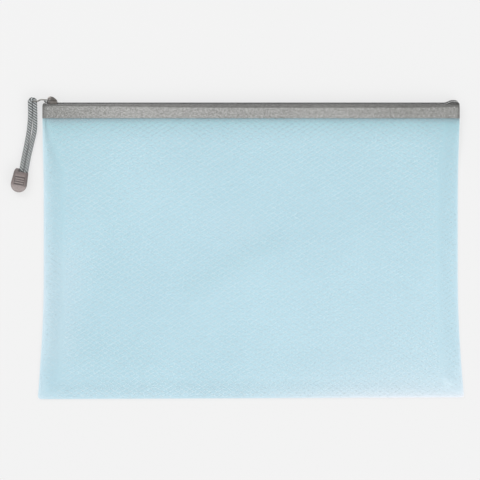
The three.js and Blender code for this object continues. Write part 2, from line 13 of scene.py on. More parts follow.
import bmesh
import bpy
import numpy as np
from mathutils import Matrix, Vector


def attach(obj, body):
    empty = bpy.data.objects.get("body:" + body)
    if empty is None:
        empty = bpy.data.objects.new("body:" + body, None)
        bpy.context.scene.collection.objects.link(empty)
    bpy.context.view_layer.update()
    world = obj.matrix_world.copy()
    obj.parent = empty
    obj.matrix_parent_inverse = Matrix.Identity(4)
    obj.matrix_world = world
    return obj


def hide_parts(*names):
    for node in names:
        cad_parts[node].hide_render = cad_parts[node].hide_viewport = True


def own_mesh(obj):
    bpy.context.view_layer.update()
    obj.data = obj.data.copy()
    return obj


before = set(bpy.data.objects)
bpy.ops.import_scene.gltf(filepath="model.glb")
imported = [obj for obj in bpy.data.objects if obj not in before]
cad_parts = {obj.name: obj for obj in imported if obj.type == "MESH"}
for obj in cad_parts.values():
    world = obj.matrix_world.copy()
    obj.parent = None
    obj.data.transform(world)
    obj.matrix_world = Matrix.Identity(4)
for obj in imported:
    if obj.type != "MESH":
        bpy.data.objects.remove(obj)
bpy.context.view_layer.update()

log = logging.getLogger("pouch")
MM = 0.001
Array = np.ndarray
Colour = tuple[float, float, float, float]
Point = tuple[float, float, float]
Piece = bpy.types.Object
Socket = bpy.types.NodeSocket


class Body(Enum):
    """The bodies that move against each other."""

    POUCH = "pouch"
    SLIDER = "slider"
    TAB = "tab"
    PULL = "pull"


class Side(Enum):
    """Which of the two film panels, or zipper halves, a piece belongs to."""

    FRONT = 1
    BACK = -1

    @property
    def label(self) -> str:
        """The word used in the names of this side's pieces."""
        return self.name.lower()


def paint(red: float, green: float, blue: float) -> Colour:
    """Turns a colour as a screen shows it into the linear one that a material takes.

    Args:
        red, green, blue: shares from 0 to 255.

    Returns:
        The linear colour with full opacity.
    """
    shares = [c / 255 for c in (red, green, blue)]
    linear = [c / 12.92 if c < 0.04045 else ((c + 0.055) / 1.055) ** 2.4 for c in shares]
    return (linear[0], linear[1], linear[2], 1.0)


def grey(level: float) -> Colour:
    """An even grey, its level from 0 to 255 as a screen shows it."""
    return paint(level, level, level)


WHITE = grey(255)


def smooth(value: Array | float) -> Array:
    """Rises gently from 0 to 1 as the value does."""
    t = np.clip(value, 0, 1)
    return t * t * (3 - 2 * t)


def rise(value: Array | float, start: float, run: float) -> Array:
    """Rises gently from 0 to 1 over a run of the value that begins at its start."""
    return smooth((value - start) / run)


def bell(distance: Array | float, width: float) -> Array:
    """A soft hump: 1 at no distance, and fading over this width both ways."""
    return np.exp(-((distance / width) ** 2))


def mix(low: Array | float, high: Array | float, share: Array | float) -> Array:
    """The value a share of the way from low to high."""
    return low + (high - low) * share


def unit(ways: Array) -> Array:
    """The directions with a length of 1."""
    return ways / np.linalg.norm(ways, axis=-1, keepdims=True)


def corner_cut(depth: Array, radius: float) -> Array:
    """How far a rounded corner is cut back at this depth from its end."""
    left = np.clip((radius - depth) / radius, 0, 1) * radius
    return radius - np.sqrt(radius**2 - left**2)


@dataclass(frozen=True)
class Fade:
    """A tone that is strongest at an edge and fades away from it."""

    strength: float
    reach: float

    def at(self, distance: Array) -> Array:
        """The tone at a distance from the edge."""
        return self.strength * np.exp(-distance / self.reach)


@dataclass(frozen=True)
class Rise:
    """A gentle rise from 0 to 1, from its start on and over its run."""

    start: float
    run: float

    def at(self, value: Array) -> Array:
        """How far the rise has come at this value."""
        return rise(value, self.start, self.run)


def set_down(name: str, data: bpy.types.ID) -> Piece:
    """Puts a mesh, a lamp or a camera into the scene.

    Args:
        name: the new object's name.
        data: what the object shows.

    Returns:
        The object, at the origin.
    """
    made = bpy.data.objects.new(name, data)
    bpy.context.scene.collection.objects.link(made)
    return made


def new_object(name: str, points: Array, faces: Sequence[Sequence[int]]) -> Piece:
    """Makes a smooth-shaded mesh object at the origin.

    Args:
        name: the object's name.
        points: one row of X, Y and Z for each corner, in metres.
        faces: the corner numbers of each face.

    Returns:
        The object, linked to the scene.
    """
    mesh = bpy.data.meshes.new(name)
    mesh.from_pydata(np.asarray(points, float).tolist(), [], [list(map(int, f)) for f in faces])
    mesh.validate()
    mesh.shade_smooth()
    return set_down(name, mesh)


def grid_faces(rows: int, columns: int, wrap: bool = False) -> list[list[int]]:
    """Faces of a grid of corners that is stored row after row.

    Args:
        rows: corners one way.
        columns: corners the other way.
        wrap: whether the last column joins the first, as round a tube.

    Returns:
        Four corner numbers for each face.
    """
    across = columns if wrap else columns - 1
    i = np.repeat(np.arange(rows - 1), across) * columns
    j = np.tile(np.arange(across), rows - 1)
    k = (j + 1) % columns
    return np.stack([i + j, i + k, i + columns + k, i + columns + j], 1).tolist()


def tube_faces(rings: int, sides: int, flip: bool) -> list[list[int]]:
    """Faces of a closed tube whose corners are stored ring after ring.

    Args:
        rings: how many rings of corners the tube has.
        sides: corners in a ring.
        flip: whether the faces are turned over, to point outwards.

    Returns:
        The corner numbers of each face, with the two end caps last.
    """
    faces = grid_faces(rings, sides, wrap=True)
    faces += [list(range(sides - 1, -1, -1)), list(range((rings - 1) * sides, rings * sides))]
    return [face[::-1] for face in faces] if flip else faces


def bend_mesh(piece: Piece, place: Callable[[Array], Array]) -> None:
    """Moves every corner of a mesh.

    Args:
        piece: the object whose mesh is bent.
        place: gives the new corners for the old ones.
    """
    corners = np.zeros(len(piece.data.vertices) * 3)
    piece.data.vertices.foreach_get("co", corners)
    piece.data.vertices.foreach_set("co", place(corners.reshape(-1, 3)).ravel())
    piece.data.update()


def bake(piece: Piece) -> Piece:
    """Turns a piece with modifiers into the plain mesh that they make.

    Args:
        piece: the object with its modifiers.

    Returns:
        The same object, with its modifiers off.
    """
    bpy.context.view_layer.update()
    shape = piece.evaluated_get(bpy.context.evaluated_depsgraph_get())
    mesh = bpy.data.meshes.new_from_object(shape)
    piece.modifiers.clear()
    piece.data = mesh
    return piece


def sharpen(piece: Piece, degrees: float) -> None:
    """Shades a piece smooth, with its edges sharper than this angle kept crisp."""
    piece.data.shade_smooth()
    piece.data.set_sharp_from_angle(angle=math.radians(degrees))


def mark(piece: Piece, name: str, values: Array) -> None:
    """Gives each corner of a piece a value that its material reads under this name."""
    layer = piece.data.attributes.new(name, "FLOAT", "POINT")
    layer.data.foreach_set("value", values.ravel().astype(np.float32))


def softened_copy(node: str, name: str, width: float) -> Piece:
    """Copies a hard piece's exact shape and rounds its edges a little.

    Args:
        node: the piece in the frame.
        name: the copy's name.
        width: how wide an edge is rounded, in metres.

    Returns:
        The copy, standing for the piece.
    """
    flat = math.radians(1.5)
    shape = bmesh.new()
    shape.from_mesh(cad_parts[node].data)
    bmesh.ops.remove_doubles(shape, verts=shape.verts, dist=1e-6)
    bmesh.ops.dissolve_limit(shape, angle_limit=flat, verts=shape.verts, edges=shape.edges)
    mesh = bpy.data.meshes.new(name)
    shape.to_mesh(mesh)
    shape.free()
    copy = set_down(name, mesh)
    rounding = copy.modifiers.new("edges", "BEVEL")
    rounding.width = width
    rounding.segments = 2
    rounding.limit_method = "ANGLE"
    rounding.angle_limit = math.radians(28)
    rounding.harden_normals = False
    bake(copy)
    sharpen(copy, 50)
    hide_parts(node)
    return copy


def settle(piece: Piece, body: Body, finish: bpy.types.Material | None = None) -> None:
    """Fixes a piece on its body.

    Args:
        piece: the finished piece.
        body: what it moves with.
        finish: its material, unless its mesh already has one.
    """
    if finish is not None:
        piece.data.materials.clear()
        piece.data.materials.append(finish)
    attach(piece, body.value)


class Nodes:
    """Nodes of one tree, added one at a time and fed with numbers or with sockets."""

    def __init__(self, tree: bpy.types.NodeTree) -> None:
        """Works on this tree."""
        self.tree = tree

    def feed(self, node: bpy.types.Node, name: str | int, value: object) -> None:
        """Sets one of a node's inputs, or links it.

        Args:
            node: the node that is fed.
            name: the input's name or number.
            value: a plain value, or the socket that it comes from.
        """
        if isinstance(value, Socket):
            self.tree.links.new(value, node.inputs[name])
        else:
            node.inputs[name].default_value = value

    def add(self, kind: str, values: dict | None = None, **options: object) -> bpy.types.Node:
        """Adds one node.

        Args:
            kind: Blender's name of the node.
            values: what its inputs are fed with, by their name or number.
            options: the node's own settings.

        Returns:
            The node.
        """
        node = self.tree.nodes.new(kind)
        for name, value in options.items():
            setattr(node, name, value)
        for name, value in (values or {}).items():
            self.feed(node, name, value)
        return node

    def out(
        self, kind: str, values: dict | None = None, output: int | str = 0, **options: object
    ) -> Socket:
        """Adds one node and gives one of its outputs, the first unless another is named."""
        return self.add(kind, values, **options).outputs[output]

    def math(self, operation: str, *values: object) -> Socket:
        """The result of one sum on sockets, numbers or the names of inputs."""
        return self.out("ShaderNodeMath", dict(enumerate(values)), operation=operation)


class Shader(Nodes):
    """A material's nodes round one main surface, on the piece's own coordinates."""

    def __init__(self, name: str, colour: Colour, roughness: float) -> None:
        """Starts a material.

        Args:
            name: the material's name.
            colour: its colour until another is fed in.
            roughness: how dull its shine is, from 0 to 1.
        """
        self.material = bpy.data.materials.new(name)
        self.material.use_nodes = True
        super().__init__(self.material.node_tree)
        self.tree.nodes.clear()
        values = {"Base Color": colour, "Roughness": roughness}
        self.surface = self.add("ShaderNodeBsdfPrincipled", values)
        self.add("ShaderNodeOutputMaterial", {"Surface": self.surface.outputs["BSDF"]})
        self.place = self.out("ShaderNodeTexCoord", output="Object")

    def dress(self, **values: object) -> None:
        """Feeds the main surface's inputs, each by its name with _ for a space."""
        for name, value in values.items():
            self.feed(self.surface, name.replace("_", " "), value)

    def place_along(self, axis: str) -> Socket:
        """Where a point of the piece lies along one axis."""
        return self.out("ShaderNodeSeparateXYZ", {"Vector": self.place}, axis)

    def attribute(self, name: str) -> Socket:
        """The value that the piece's corners were marked with under this name."""
        return self.out("ShaderNodeAttribute", None, "Fac", attribute_name=name)

    def noise(self, scale: float, detail: float, at: Socket | None = None) -> Socket:
        """Noise on the piece's own coordinates, or on other ones."""
        place = self.place if at is None else at
        return self.out("ShaderNodeTexNoise", {"Scale": scale, "Detail": detail, "Vector": place})

    def share(self, value: Socket, low: float, high: float) -> Socket:
        """How far a value is from low to high, from 0 to 1."""
        values = {"Value": value, "From Min": low, "From Max": high}
        return self.out("ShaderNodeMapRange", values, "Result")

    def ramp(self, value: Socket, *stops: tuple[float, Colour]) -> Socket:
        """A ramp of colours over a value.

        Args:
            value: what the ramp reads.
            stops: the places on the ramp and their colours, in order.

        Returns:
            The ramp's colour.
        """
        node = self.add("ShaderNodeValToRGB", {"Fac": value})
        band = node.color_ramp
        band.elements[0].position, band.elements[0].color = stops[0]
        band.elements[1].position, band.elements[1].color = stops[-1]
        for position, colour in stops[1:-1]:
            band.elements.new(position).color = colour
        return node.outputs["Color"]

    def blend(self, first: object, second: object, share: object, kind: str = "MIX") -> Socket:
        """One colour with a share of a second one mixed in, or multiplied by it."""
        values = {0: share, 6: first, 7: second}
        return self.out("ShaderNodeMix", values, 2, data_type="RGBA", blend_type=kind)

    def tint(self, first: object, second: object) -> Socket:
        """One colour multiplied by another."""
        return self.blend(first, second, 1.0, "MULTIPLY")

    def bump(self, height: Socket, distance: float, strength: float) -> None:
        """Raises the main surface by a value."""
        values = {"Strength": strength, "Distance": distance, "Height": height}
        self.dress(Normal=self.out("ShaderNodeBump", values))


@dataclass(frozen=True)
class Finish:
    """What a piece is made of: one colour and shine, and what each finish draws on them."""

    colour: Colour
    roughness: float

    def build(self, name: str) -> bpy.types.Material:
        """Makes the material.

        Args:
            name: the material's name.

        Returns:
            The material.
        """
        shader = Shader(name, self.colour, self.roughness)
        self.draw(shader)
        return shader.material

    def draw(self, shader: Shader) -> None:
        """Adds this finish's own nodes to a new material."""
        raise NotImplementedError


@dataclass(frozen=True)
class FilmFinish(Finish):
    """Milky blue translucent film, paler in its welds, partly their own colour and partly painted
    highlight, with painted shade under the zipper tape.
    """

    colour: Colour = paint(185, 217, 228)
    roughness: float = 0.36
    thin: Colour = paint(246, 249, 250)
    # The welded colour is the welds' own paler colour, and the weld mark also uses it for painted
    # highlights.
    welded: Colour = paint(236, 237, 243)
    # The dimmed and shaded colours are colours of painted shade.
    dimmed: Colour = paint(228, 240, 238)
    shaded: Colour = paint(186, 172, 172)
    opacity: float = 0.6
    gloss: float = 0.15
    gloss_roughness: float = 0.22

    def draw(self, shader: Shader) -> None:
        """Draws clouds in the film, the panel's weld mark, which is weld colour with painted highlights,
        and its painted shade mark.

        Args:
            shader: the new material's nodes.
        """
        milky = shader.ramp(shader.noise(scale=9.0, detail=2.0), (0.3, self.thin), (0.7, WHITE))
        # The weld mark blends in the paler weld colour, partly as painted highlight; the shade mark
        # tints the film with painted shade.
        film = shader.blend(shader.tint(self.colour, milky), self.welded, shader.attribute("weld"))
        stops = (0.0, WHITE), (0.36, self.dimmed), (1.0, self.shaded)
        shader.dress(
            Base_Color=shader.tint(film, shader.ramp(shader.attribute("shade"), *stops)),
            Alpha=self.opacity,
            Coat_Weight=self.gloss,
            Coat_Roughness=self.gloss_roughness,
        )
        shader.bump(shader.noise(scale=900.0, detail=4.0), distance=0.05 * MM, strength=0.5)


@dataclass(frozen=True)
class ThreadFinish(Finish):
    """Pale threads of the net, seen through the film that covers them."""

    colour: Colour = paint(240, 249, 252)
    roughness: float = 0.34
    spun: Colour = paint(222, 240, 247)
    # Painted shade on the threads towards the zipper tape.
    under_tape: Colour = paint(206, 212, 215)
    tape_reach: tuple[float, float] = (86 * MM, 107 * MM)
    opacity: float = 0.22
    side_opacity: float = 0.4 * 0.22
    side_reach: tuple[float, float] = (148 * MM, 165 * MM)

    def draw(self, shader: Shader) -> None:
        """Draws the spun thread, with painted shade towards the tape, and fainter towards the side
        welds.

        Args:
            shader: the new material's nodes.
        """
        spin = shader.noise(scale=350.0, detail=2.0)
        tone = shader.ramp(spin, (0.25, self.spun), (0.75, self.colour))
        below = shader.share(shader.place_along("Y"), *self.tape_reach)
        thread_shade = shader.ramp(below, (0.0, WHITE), (1.0, self.under_tape))
        shader.dress(Base_Color=shader.tint(tone, thread_shade))
        shader.bump(spin, distance=0.05 * MM, strength=0.4)
        low, high = self.side_reach
        values = {
            "Value": shader.math("ABSOLUTE", shader.place_along("X")),
            "From Min": low,
            "From Max": high,
            "To Min": self.opacity,
            "To Max": self.side_opacity,
        }
        shader.dress(Alpha=shader.out("ShaderNodeMapRange", values, "Result"))


@dataclass(frozen=True)
class WovenFinish(Finish):
    """Woven polyester tape: ribs, finer picks across them and a darker zone over the coil."""

    colour: Colour = paint(197, 197, 194)
    roughness: float = 0.82
    dark: Colour = paint(124, 124, 123)
    pale: Colour = paint(225, 225, 222)
    worn: Colour = paint(190, 190, 189)
    coil_zone: Colour = paint(188, 187, 187)
    crest: Colour = grey(130)
    rib: float = 0.62 * MM
    pick: float = 0.48 * MM
    patches: Point = (1250, 1550, 1550)
    tape_reach: float = 170 * MM
    # Painted light and shade along the tape, by places over X.
    along: tuple[tuple[float, Colour], ...] = (
        (0.04, paint(224, 224, 223)),
        (0.2, WHITE),
        (0.5, grey(242)),
        (0.71, grey(249)),
        (0.87, paint(228, 228, 227)),
    )

    def bands(self, shader: Shader, axis: str, width: float, distortion: float) -> Socket:
        """Bands across one axis, each as wide as a thread.

        Args:
            shader: the new material's nodes.
            axis: the axis that the bands follow one another along.
            width: the pitch of the bands, in metres.
            distortion: how uneven they are.

        Returns:
            The height of the bands.
        """
        values = {"Scale": math.pi / (10 * width), "Distortion": distortion, "Vector": shader.place}
        return shader.out("ShaderNodeTexWave", values, "Fac", bands_direction=axis)

    def draw(self, shader: Shader) -> None:
        """Draws the weave, its worn patches, painted light and shade along the tape and the coil mark.

        Args:
            shader: the new material's nodes.
        """
        woven = shader.math(
            "MULTIPLY",
            self.bands(shader, "Y", self.rib, 0.8),
            self.bands(shader, "X", self.pick, 1.2),
        )
        tone = shader.ramp(woven, (0.0, self.dark), (0.4, self.colour), (1.0, self.pale))
        stretched = shader.out("ShaderNodeMapping", {"Vector": shader.place, "Scale": self.patches})
        patches = shader.noise(scale=1.0, detail=3.0, at=stretched)
        worn = shader.ramp(patches, (0.38, self.worn), (0.62, WHITE))
        along = shader.share(shader.place_along("X"), -self.tape_reach, self.tape_reach)
        cloth = shader.tint(tone, shader.tint(worn, shader.ramp(along, *self.along)))
        stops = (0.0, WHITE), (0.6, self.coil_zone), (1.0, self.crest)
        shader.dress(
            Base_Color=shader.tint(cloth, shader.ramp(shader.attribute("coil"), *stops)),
            Sheen_Weight=0.2,
            Sheen_Roughness=0.4,
        )
        shader.bump(woven, distance=0.12 * MM, strength=0.7)


@dataclass(frozen=True)
class YarnFinish(Finish):
    """Braided yarn, with painted highlight on its crowns and painted shade in the grooves between yarns.
    """

    colour: Colour = paint(82, 85, 85)
    roughness: float = 0.72
    # The groove colour is painted shade and the crown colour a painted highlight.
    groove: Colour = paint(34, 35, 36)
    crown: Colour = paint(207, 212, 212)
    spun: Colour = paint(196, 197, 198)
    sheen: float = 0.25

    def draw(self, shader: Shader) -> None:
        """Draws the yarns by the cord's crown mark, which holds painted shade, painted highlight and the
        darker yarns, with fine fibres.

        Args:
            shader: the new material's nodes.
        """
        stops = (0.2, self.groove), (0.42, self.colour), (0.85, self.crown)
        tone = shader.ramp(shader.attribute("crown"), *stops)
        fibre = shader.noise(scale=2600.0, detail=3.0)
        spun = shader.ramp(fibre, (0.3, self.spun), (0.7, WHITE))
        shader.dress(Base_Color=shader.tint(tone, spun), Sheen_Weight=self.sheen)
        shader.bump(fibre, distance=0.06 * MM, strength=0.6)


@dataclass(frozen=True)
class PlainFinish(Finish):
    """Moulded, drawn or spun material: one colour with fine mottling and a fine grain."""

    second: Colour
    metallic: float = 0.0
    mottle_scale: float = 260.0
    grain_scale: float = 1800.0
    grain: float = 0.03 * MM
    sheen: float = 0.0

    def draw(self, shader: Shader) -> None:
        """Draws the mottling and the grain.

        Args:
            shader: the new material's nodes.
        """
        mottle = shader.noise(self.mottle_scale, detail=4.0)
        tone = shader.ramp(mottle, (0.35, self.colour), (0.7, self.second))
        shader.dress(Base_Color=tone, Metallic=self.metallic, Sheen_Weight=self.sheen)
        shader.bump(shader.noise(self.grain_scale, detail=3.0), self.grain, strength=0.6)


@dataclass(frozen=True)
class GripFinish(Finish):
    """Moulded grip: warm brown-grey, with a paler round end, painted shade on its right side and in its
    grooves, and painted highlight on its rib tops.
    """

    colour: Colour = paint(118, 107, 105)
    roughness: float = 0.42
    pale: Colour = paint(178, 170, 168)
    dark: Colour = paint(72, 69, 69)
    rubbed: Colour = paint(228, 226, 226)

    def draw(self, shader: Shader) -> None:
        """Draws the grip by its tone mark, with fine mottling.

        Args:
            shader: the new material's nodes.
        """
        stops = (0.0, self.dark), (0.5, self.colour), (1.0, self.pale)
        bands = shader.ramp(shader.attribute("tone"), *stops)
        rubbed = shader.ramp(shader.noise(scale=700.0, detail=4.0), (0.3, self.rubbed), (0.7, WHITE))
        shader.dress(Base_Color=shader.tint(bands, rubbed))
        shader.bump(shader.noise(scale=2400.0, detail=3.0), distance=0.04 * MM, strength=0.6)


@dataclass(frozen=True)
class PouchForm:
    """The pouch's outline and the heights of its two panels.

    It is the frame's form, with the left edge, the waist and the zipper's right end a little fuller.
    """

    bottom_y: float = -119.4 * MM
    top_half_width: float = 168.3 * MM
    waist_draw_in: float = 1.2 * MM
    foot_flare: float = 4.1 * MM
    waist_top_y: float = 30 * MM
    waist_bottom_y: float = -19 * MM
    straight_top: float = 3 * MM
    foot_corner: float = 2.5 * MM
    foot_skew: float = 0.7 * MM
    film: float = 0.5 * MM
    seat: float = 0.3 * MM
    weld_width: float = 3.2 * MM
    left_swell: float = 0.45 * MM
    swell_run: float = 30 * MM
    belly_rise: float = 14 * MM
    belly_height: float = 5.8 * MM
    near_zip_reach: Rise = Rise(-47 * MM, 44 * MM)
    back_lift: Rise = Rise(-13 * MM, 9 * MM)
    shoulder_y: float = 118 * MM
    tape: float = 0.5 * MM
    tape_foot_y: float = 106.7 * MM
    zip_z: float = 4.7 * MM
    shoulder_radius: float = 1.3 * MM
    tape_edge: float = 1.15 * MM
    panel_top_y: float = 115.9 * MM
    end_weld: float = 1.2 * MM
    left_pinch: float = 3 * MM
    right_pinch: float = 11 * MM
    left_end_rise: float = 1.3 * MM
    right_end_rise: float = 2 * MM
    right_rise: Rise = Rise(-12.6 * MM, 6.6 * MM)
    end_corner: float = 2.4 * MM
    chain_end: float = 1.2 * MM

    @property
    def tape_inner(self) -> float:
        """From the chain's middle to the inside of a tape."""
        return self.zip_z - self.tape

    @property
    def panel_outer(self) -> float:
        """From the chain's middle to the outside of a panel."""
        return self.tape_inner - self.seat

    @property
    def weld_half(self) -> float:
        """Half the thickness of the two panels where they are welded."""
        return self.film + self.seat / 2

    def half_width(self, y: Array) -> Array:
        """The pouch's half width.

        Args:
            y: where it is measured.

        Returns:
            The half width at each Y, with the rounded corners of the foot.
        """
        straight_y = self.tape_foot_y - self.straight_top
        above = np.clip((y - self.waist_top_y) / (straight_y - self.waist_top_y), 0, 1)
        below = np.clip((self.waist_bottom_y - y) / (self.waist_bottom_y - self.bottom_y), 0, 1)
        flare = self.waist_draw_in * above**2 + (self.waist_draw_in + self.foot_flare) * below**2
        waist = self.top_half_width - self.waist_draw_in
        return waist + flare - corner_cut(y - self.bottom_y, self.foot_corner)

    def near_zip(self, y: Array) -> Array:
        """How near a row is to the zipper: 0 on the belly, 1 where the tape covers the panel."""
        return self.near_zip_reach.at(y - self.tape_foot_y)

    def zip_open(self, x: Array) -> Array:
        """How far open the zipper's end is: 0 in the side weld, 1 where the slider can run."""
        pinch = np.where(x < 0, self.left_pinch, self.right_pinch)
        return smooth((self.top_half_width - np.abs(x) - self.end_weld) / pinch)

    def end_rise(self, x: Array) -> Array:
        """How much the chain rises because its ends are pinched.

        Args:
            x: places along the zipper.

        Returns:
            The rise along Y at each place.
        """
        left = self.left_end_rise * (1 - self.zip_open(x))
        right = self.right_end_rise * self.right_rise.at(x - self.top_half_width)
        return np.where(x < 0, left, right)

    def spread(self, left: Array, y: Array) -> Array:
        """How far the panels stand apart.

        Args:
            left: distances from the left edge.
            y: the Y of the same places.

        Returns:
            From 0 in the welds to 1 on the belly.
        """
        near = self.near_zip(y)
        weld = mix(self.weld_width, self.end_weld, near)
        right = 2 * self.half_width(y) - left
        on_left = smooth((left - weld) / mix(self.belly_rise, self.left_pinch, near))
        on_right = smooth((right - weld) / mix(self.belly_rise, self.right_pinch, near))
        return on_left * on_right * smooth((y - self.bottom_y - self.weld_width) / self.belly_rise)

    def outer_face(self, side: Side, left: Array, y: Array) -> Array:
        """Height of a panel's outer face.

        Args:
            side: which of the two panels.
            left: distances from the left edge.
            y: the Y of the same places.

        Returns:
            The Z of the outer face at each place.
        """
        near = self.near_zip(y)
        middle = mix(self.weld_half, self.zip_z, near)
        if side is Side.FRONT:
            belly = mix(self.belly_height, self.zip_z + self.panel_outer, near)
        else:
            belly = (self.zip_z - self.panel_outer) * self.back_lift.at(y - self.tape_foot_y)
        return mix(middle + side.value * self.weld_half, belly, self.spread(left, y))

    def pinched(self, x: Array, y: Array, z: Array) -> Array:
        """Draws points of the zipper in towards its middle, and up, near the pinched ends.

        Args:
            x, y: where the points are.
            z: how far they are from the middle of the chain.

        Returns:
            The points, one row each.
        """
        closed = self.weld_half + self.seat
        share = (closed + (self.tape_inner - closed) * self.zip_open(x)) / self.tape_inner
        inside = np.minimum(np.abs(z), self.tape_inner)
        beyond = np.abs(z) - inside
        lift = self.end_rise(x) - corner_cut(self.top_half_width - np.abs(x), self.end_corner)
        follows = np.clip((y - self.tape_foot_y) / (self.shoulder_y - self.tape_foot_y), 0, 1)
        height = self.zip_z + np.sign(z) * (inside * share + beyond)
        return np.stack([x, y + lift * follows, height], -1)


@dataclass(frozen=True)
class Crease:
    """A soft fold in the film, from one point to another, with painted light along it where its tone is
    above 0 and painted shade where it is below 0.
    """

    start: tuple[float, float]
    end: tuple[float, float]
    height: float
    width: float
    # Tone: painted light where above 0, painted shade where below 0.
    tone: float

    def reach(self, x: Array, y: Array) -> Array:
        """How much of the fold is felt.

        Args:
            x, y: places on the film.

        Returns:
            1 on the fold's line, and 0 far away.
        """
        a, b = np.array(self.start), np.array(self.end)
        run = b - a
        along = np.clip(((x - a[0]) * run[0] + (y - a[1]) * run[1]) / (run @ run), 0, 1)
        return bell(np.hypot(x - a[0] - along * run[0], y - a[1] - along * run[1]), self.width)


@dataclass
class FilmPanel:
    """One of the two film panels, with its welded border."""

    form: PouchForm
    side: Side
    creases: tuple[Crease, ...] = ()
    step: float = 2.2 * MM
    wave_height: float = 0.22 * MM
    waves: tuple[Point, Point] = ((31, 17, 0.6), (-12, 23, 1.1))
    bead_depth: float = 0.12 * MM
    bead_inset: float = 1.7 * MM
    bead_width: float = 0.7 * MM
    left_weld: Fade = Fade(0.46, 3.6 * MM)
    right_weld: Fade = Fade(0.3, 1.6 * MM)
    low_left_share: float = 0.16 / 0.46
    foot_weld: Fade = Fade(0.34, 3.2 * MM)
    # Painted highlight along the foot, and towards the lower right corner.
    foot_haze: Fade = Fade(0.3, 12 * MM)
    foot_left_share: float = 0.3
    corner_haze: Fade = Fade(0.2, 45 * MM)
    low_zone: Rise = Rise(40 * MM, 50 * MM)
    foot_zone: Rise = Rise(-60 * MM, 200 * MM)
    corner_zone: Rise = Rise(-20 * MM, 150 * MM)
    tape_shade: Fade = Fade(0.6, 4.2 * MM)
    zip_shade: float = 0.1
    zip_fade: Fade = Fade(1, 52 * MM)
    left_shade: Fade = Fade(0.26, 45 * MM)
    right_shade: Fade = Fade(0.12, 70 * MM)
    lit_margin: Fade = Fade(0.6, 4 * MM)
    deepest: float = 0.95

    def offsets(self) -> Array:
        """Distances from an edge of the first columns or rows: 0.4 mm apart in the weld, then wider."""
        return np.concatenate([np.arange(0, 4.01, 0.4), np.linspace(4.7, 20, 14)]) * MM

    def rows(self) -> Array:
        """Where the rows of corners lie.

        Returns:
            The Y of each row, from the bottom seam up.
        """
        form = self.form
        top = form.tape_foot_y + np.array([-4, -1, 1]) * MM
        low = form.bottom_y + self.offsets()
        count = int((top[0] - low[-1]) / self.step)
        inner = np.linspace(low[-1], top[0], count)[1:-1]
        last = np.linspace(top[-1], form.panel_top_y, 5)[1:]
        return np.concatenate([low, inner, top, last])

    def columns(self, y: float) -> Array:
        """Where the corners of one row lie.

        Args:
            y: the row's Y.

        Returns:
            The distance of each column of corners from the left edge.
        """
        near_left = self.offsets()
        near_right = 2 * float(self.form.half_width(np.array(y))) - near_left[::-1]
        count = int(2 * (self.form.top_half_width - near_left[-1]) / self.step)
        inner = np.linspace(near_left[-1], near_right[0], count)[1:-1]
        return np.concatenate([near_left, inner, near_right])

    def folded(self, x: Array, y: Array, measure: Callable[[Crease], float]) -> Array:
        """What the folds add up to at these places, by one measure of each fold."""
        return sum((measure(crease) * crease.reach(x, y) for crease in self.creases), np.zeros_like(x))

    def relief(self, x: Array, y: Array, left: Array) -> Array:
        """How far the film stands off its plain form, in its creases and its weld.

        Args:
            x, y: places on the film.
            left: their distances from the left edge.

        Returns:
            The height over the plain form.
        """
        waves = self.wave_height
        for along, up, start in self.waves:
            waves = waves * np.sin(along * x + up * y + start)
        folds = self.folded(x, y, lambda crease: crease.height)
        slack = self.form.spread(left, y) * (1 - self.form.near_zip(y))
        sides = np.minimum(left, 2 * self.form.half_width(y) - left)
        edge = np.minimum(sides, y - self.form.bottom_y)
        bead = -self.bead_depth * bell(edge - self.bead_inset, self.bead_width)
        return (waves + folds) * slack + bead * (y < self.form.tape_foot_y) * self.side.value

    def whitening(self, x: Array, y: Array, left: Array) -> Array:
        """How white the film is: paler along its welds, partly their own colour and partly painted
        light, with a painted highlight along the foot and towards the lower right corner, and painted
        light on some folds.

        Args:
            x, y: places on the film.
            left: their distances from the left edge.

        Returns:
            From 0 for the film's own colour to 1 for white.
        """
        sides = (1 - self.low_left_share * self.low_zone.at(-y)) * self.left_weld.at(left)
        sides += self.right_weld.at(2 * self.form.half_width(y) - left)
        up = y - self.form.bottom_y
        # Weld colour along the foot, with painted highlight along it, stronger to the right, and towards
        # the lower right corner.
        to_right = mix(self.foot_left_share, 1, self.foot_zone.at(x))
        foot = (self.foot_weld.at(up) + self.foot_haze.at(up)) * to_right
        foot += self.corner_haze.at(up) * self.corner_zone.at(x)
        # Folds whose tone is above 0 add painted light.
        return np.clip(sides + foot + self.folded(x, y, lambda crease: max(crease.tone, 0)), 0, 1)

    def dulling(self, x: Array, y: Array) -> Array:
        """Painted shade on the film: under the zipper, most at its left end, and on some folds.

        Args:
            x, y: places on the film.

        Returns:
            From 0 for the film's own colour towards 1 for full shade.
        """
        form = self.form
        below = np.maximum(form.tape_foot_y - y, 0)
        ends = self.left_shade.at(x + form.top_half_width) + self.right_shade.at(form.top_half_width - x)
        # Painted shade fading down from the zipper, stronger towards its ends.
        broad = (self.zip_shade + ends) * self.zip_fade.at(below)
        folds = self.folded(x, y, lambda crease: max(-crease.tone, 0))
        margin = 1 - self.lit_margin.at(x + form.half_width(y))
        return np.clip(self.tape_shade.at(below) + broad + folds, 0, self.deepest) * margin

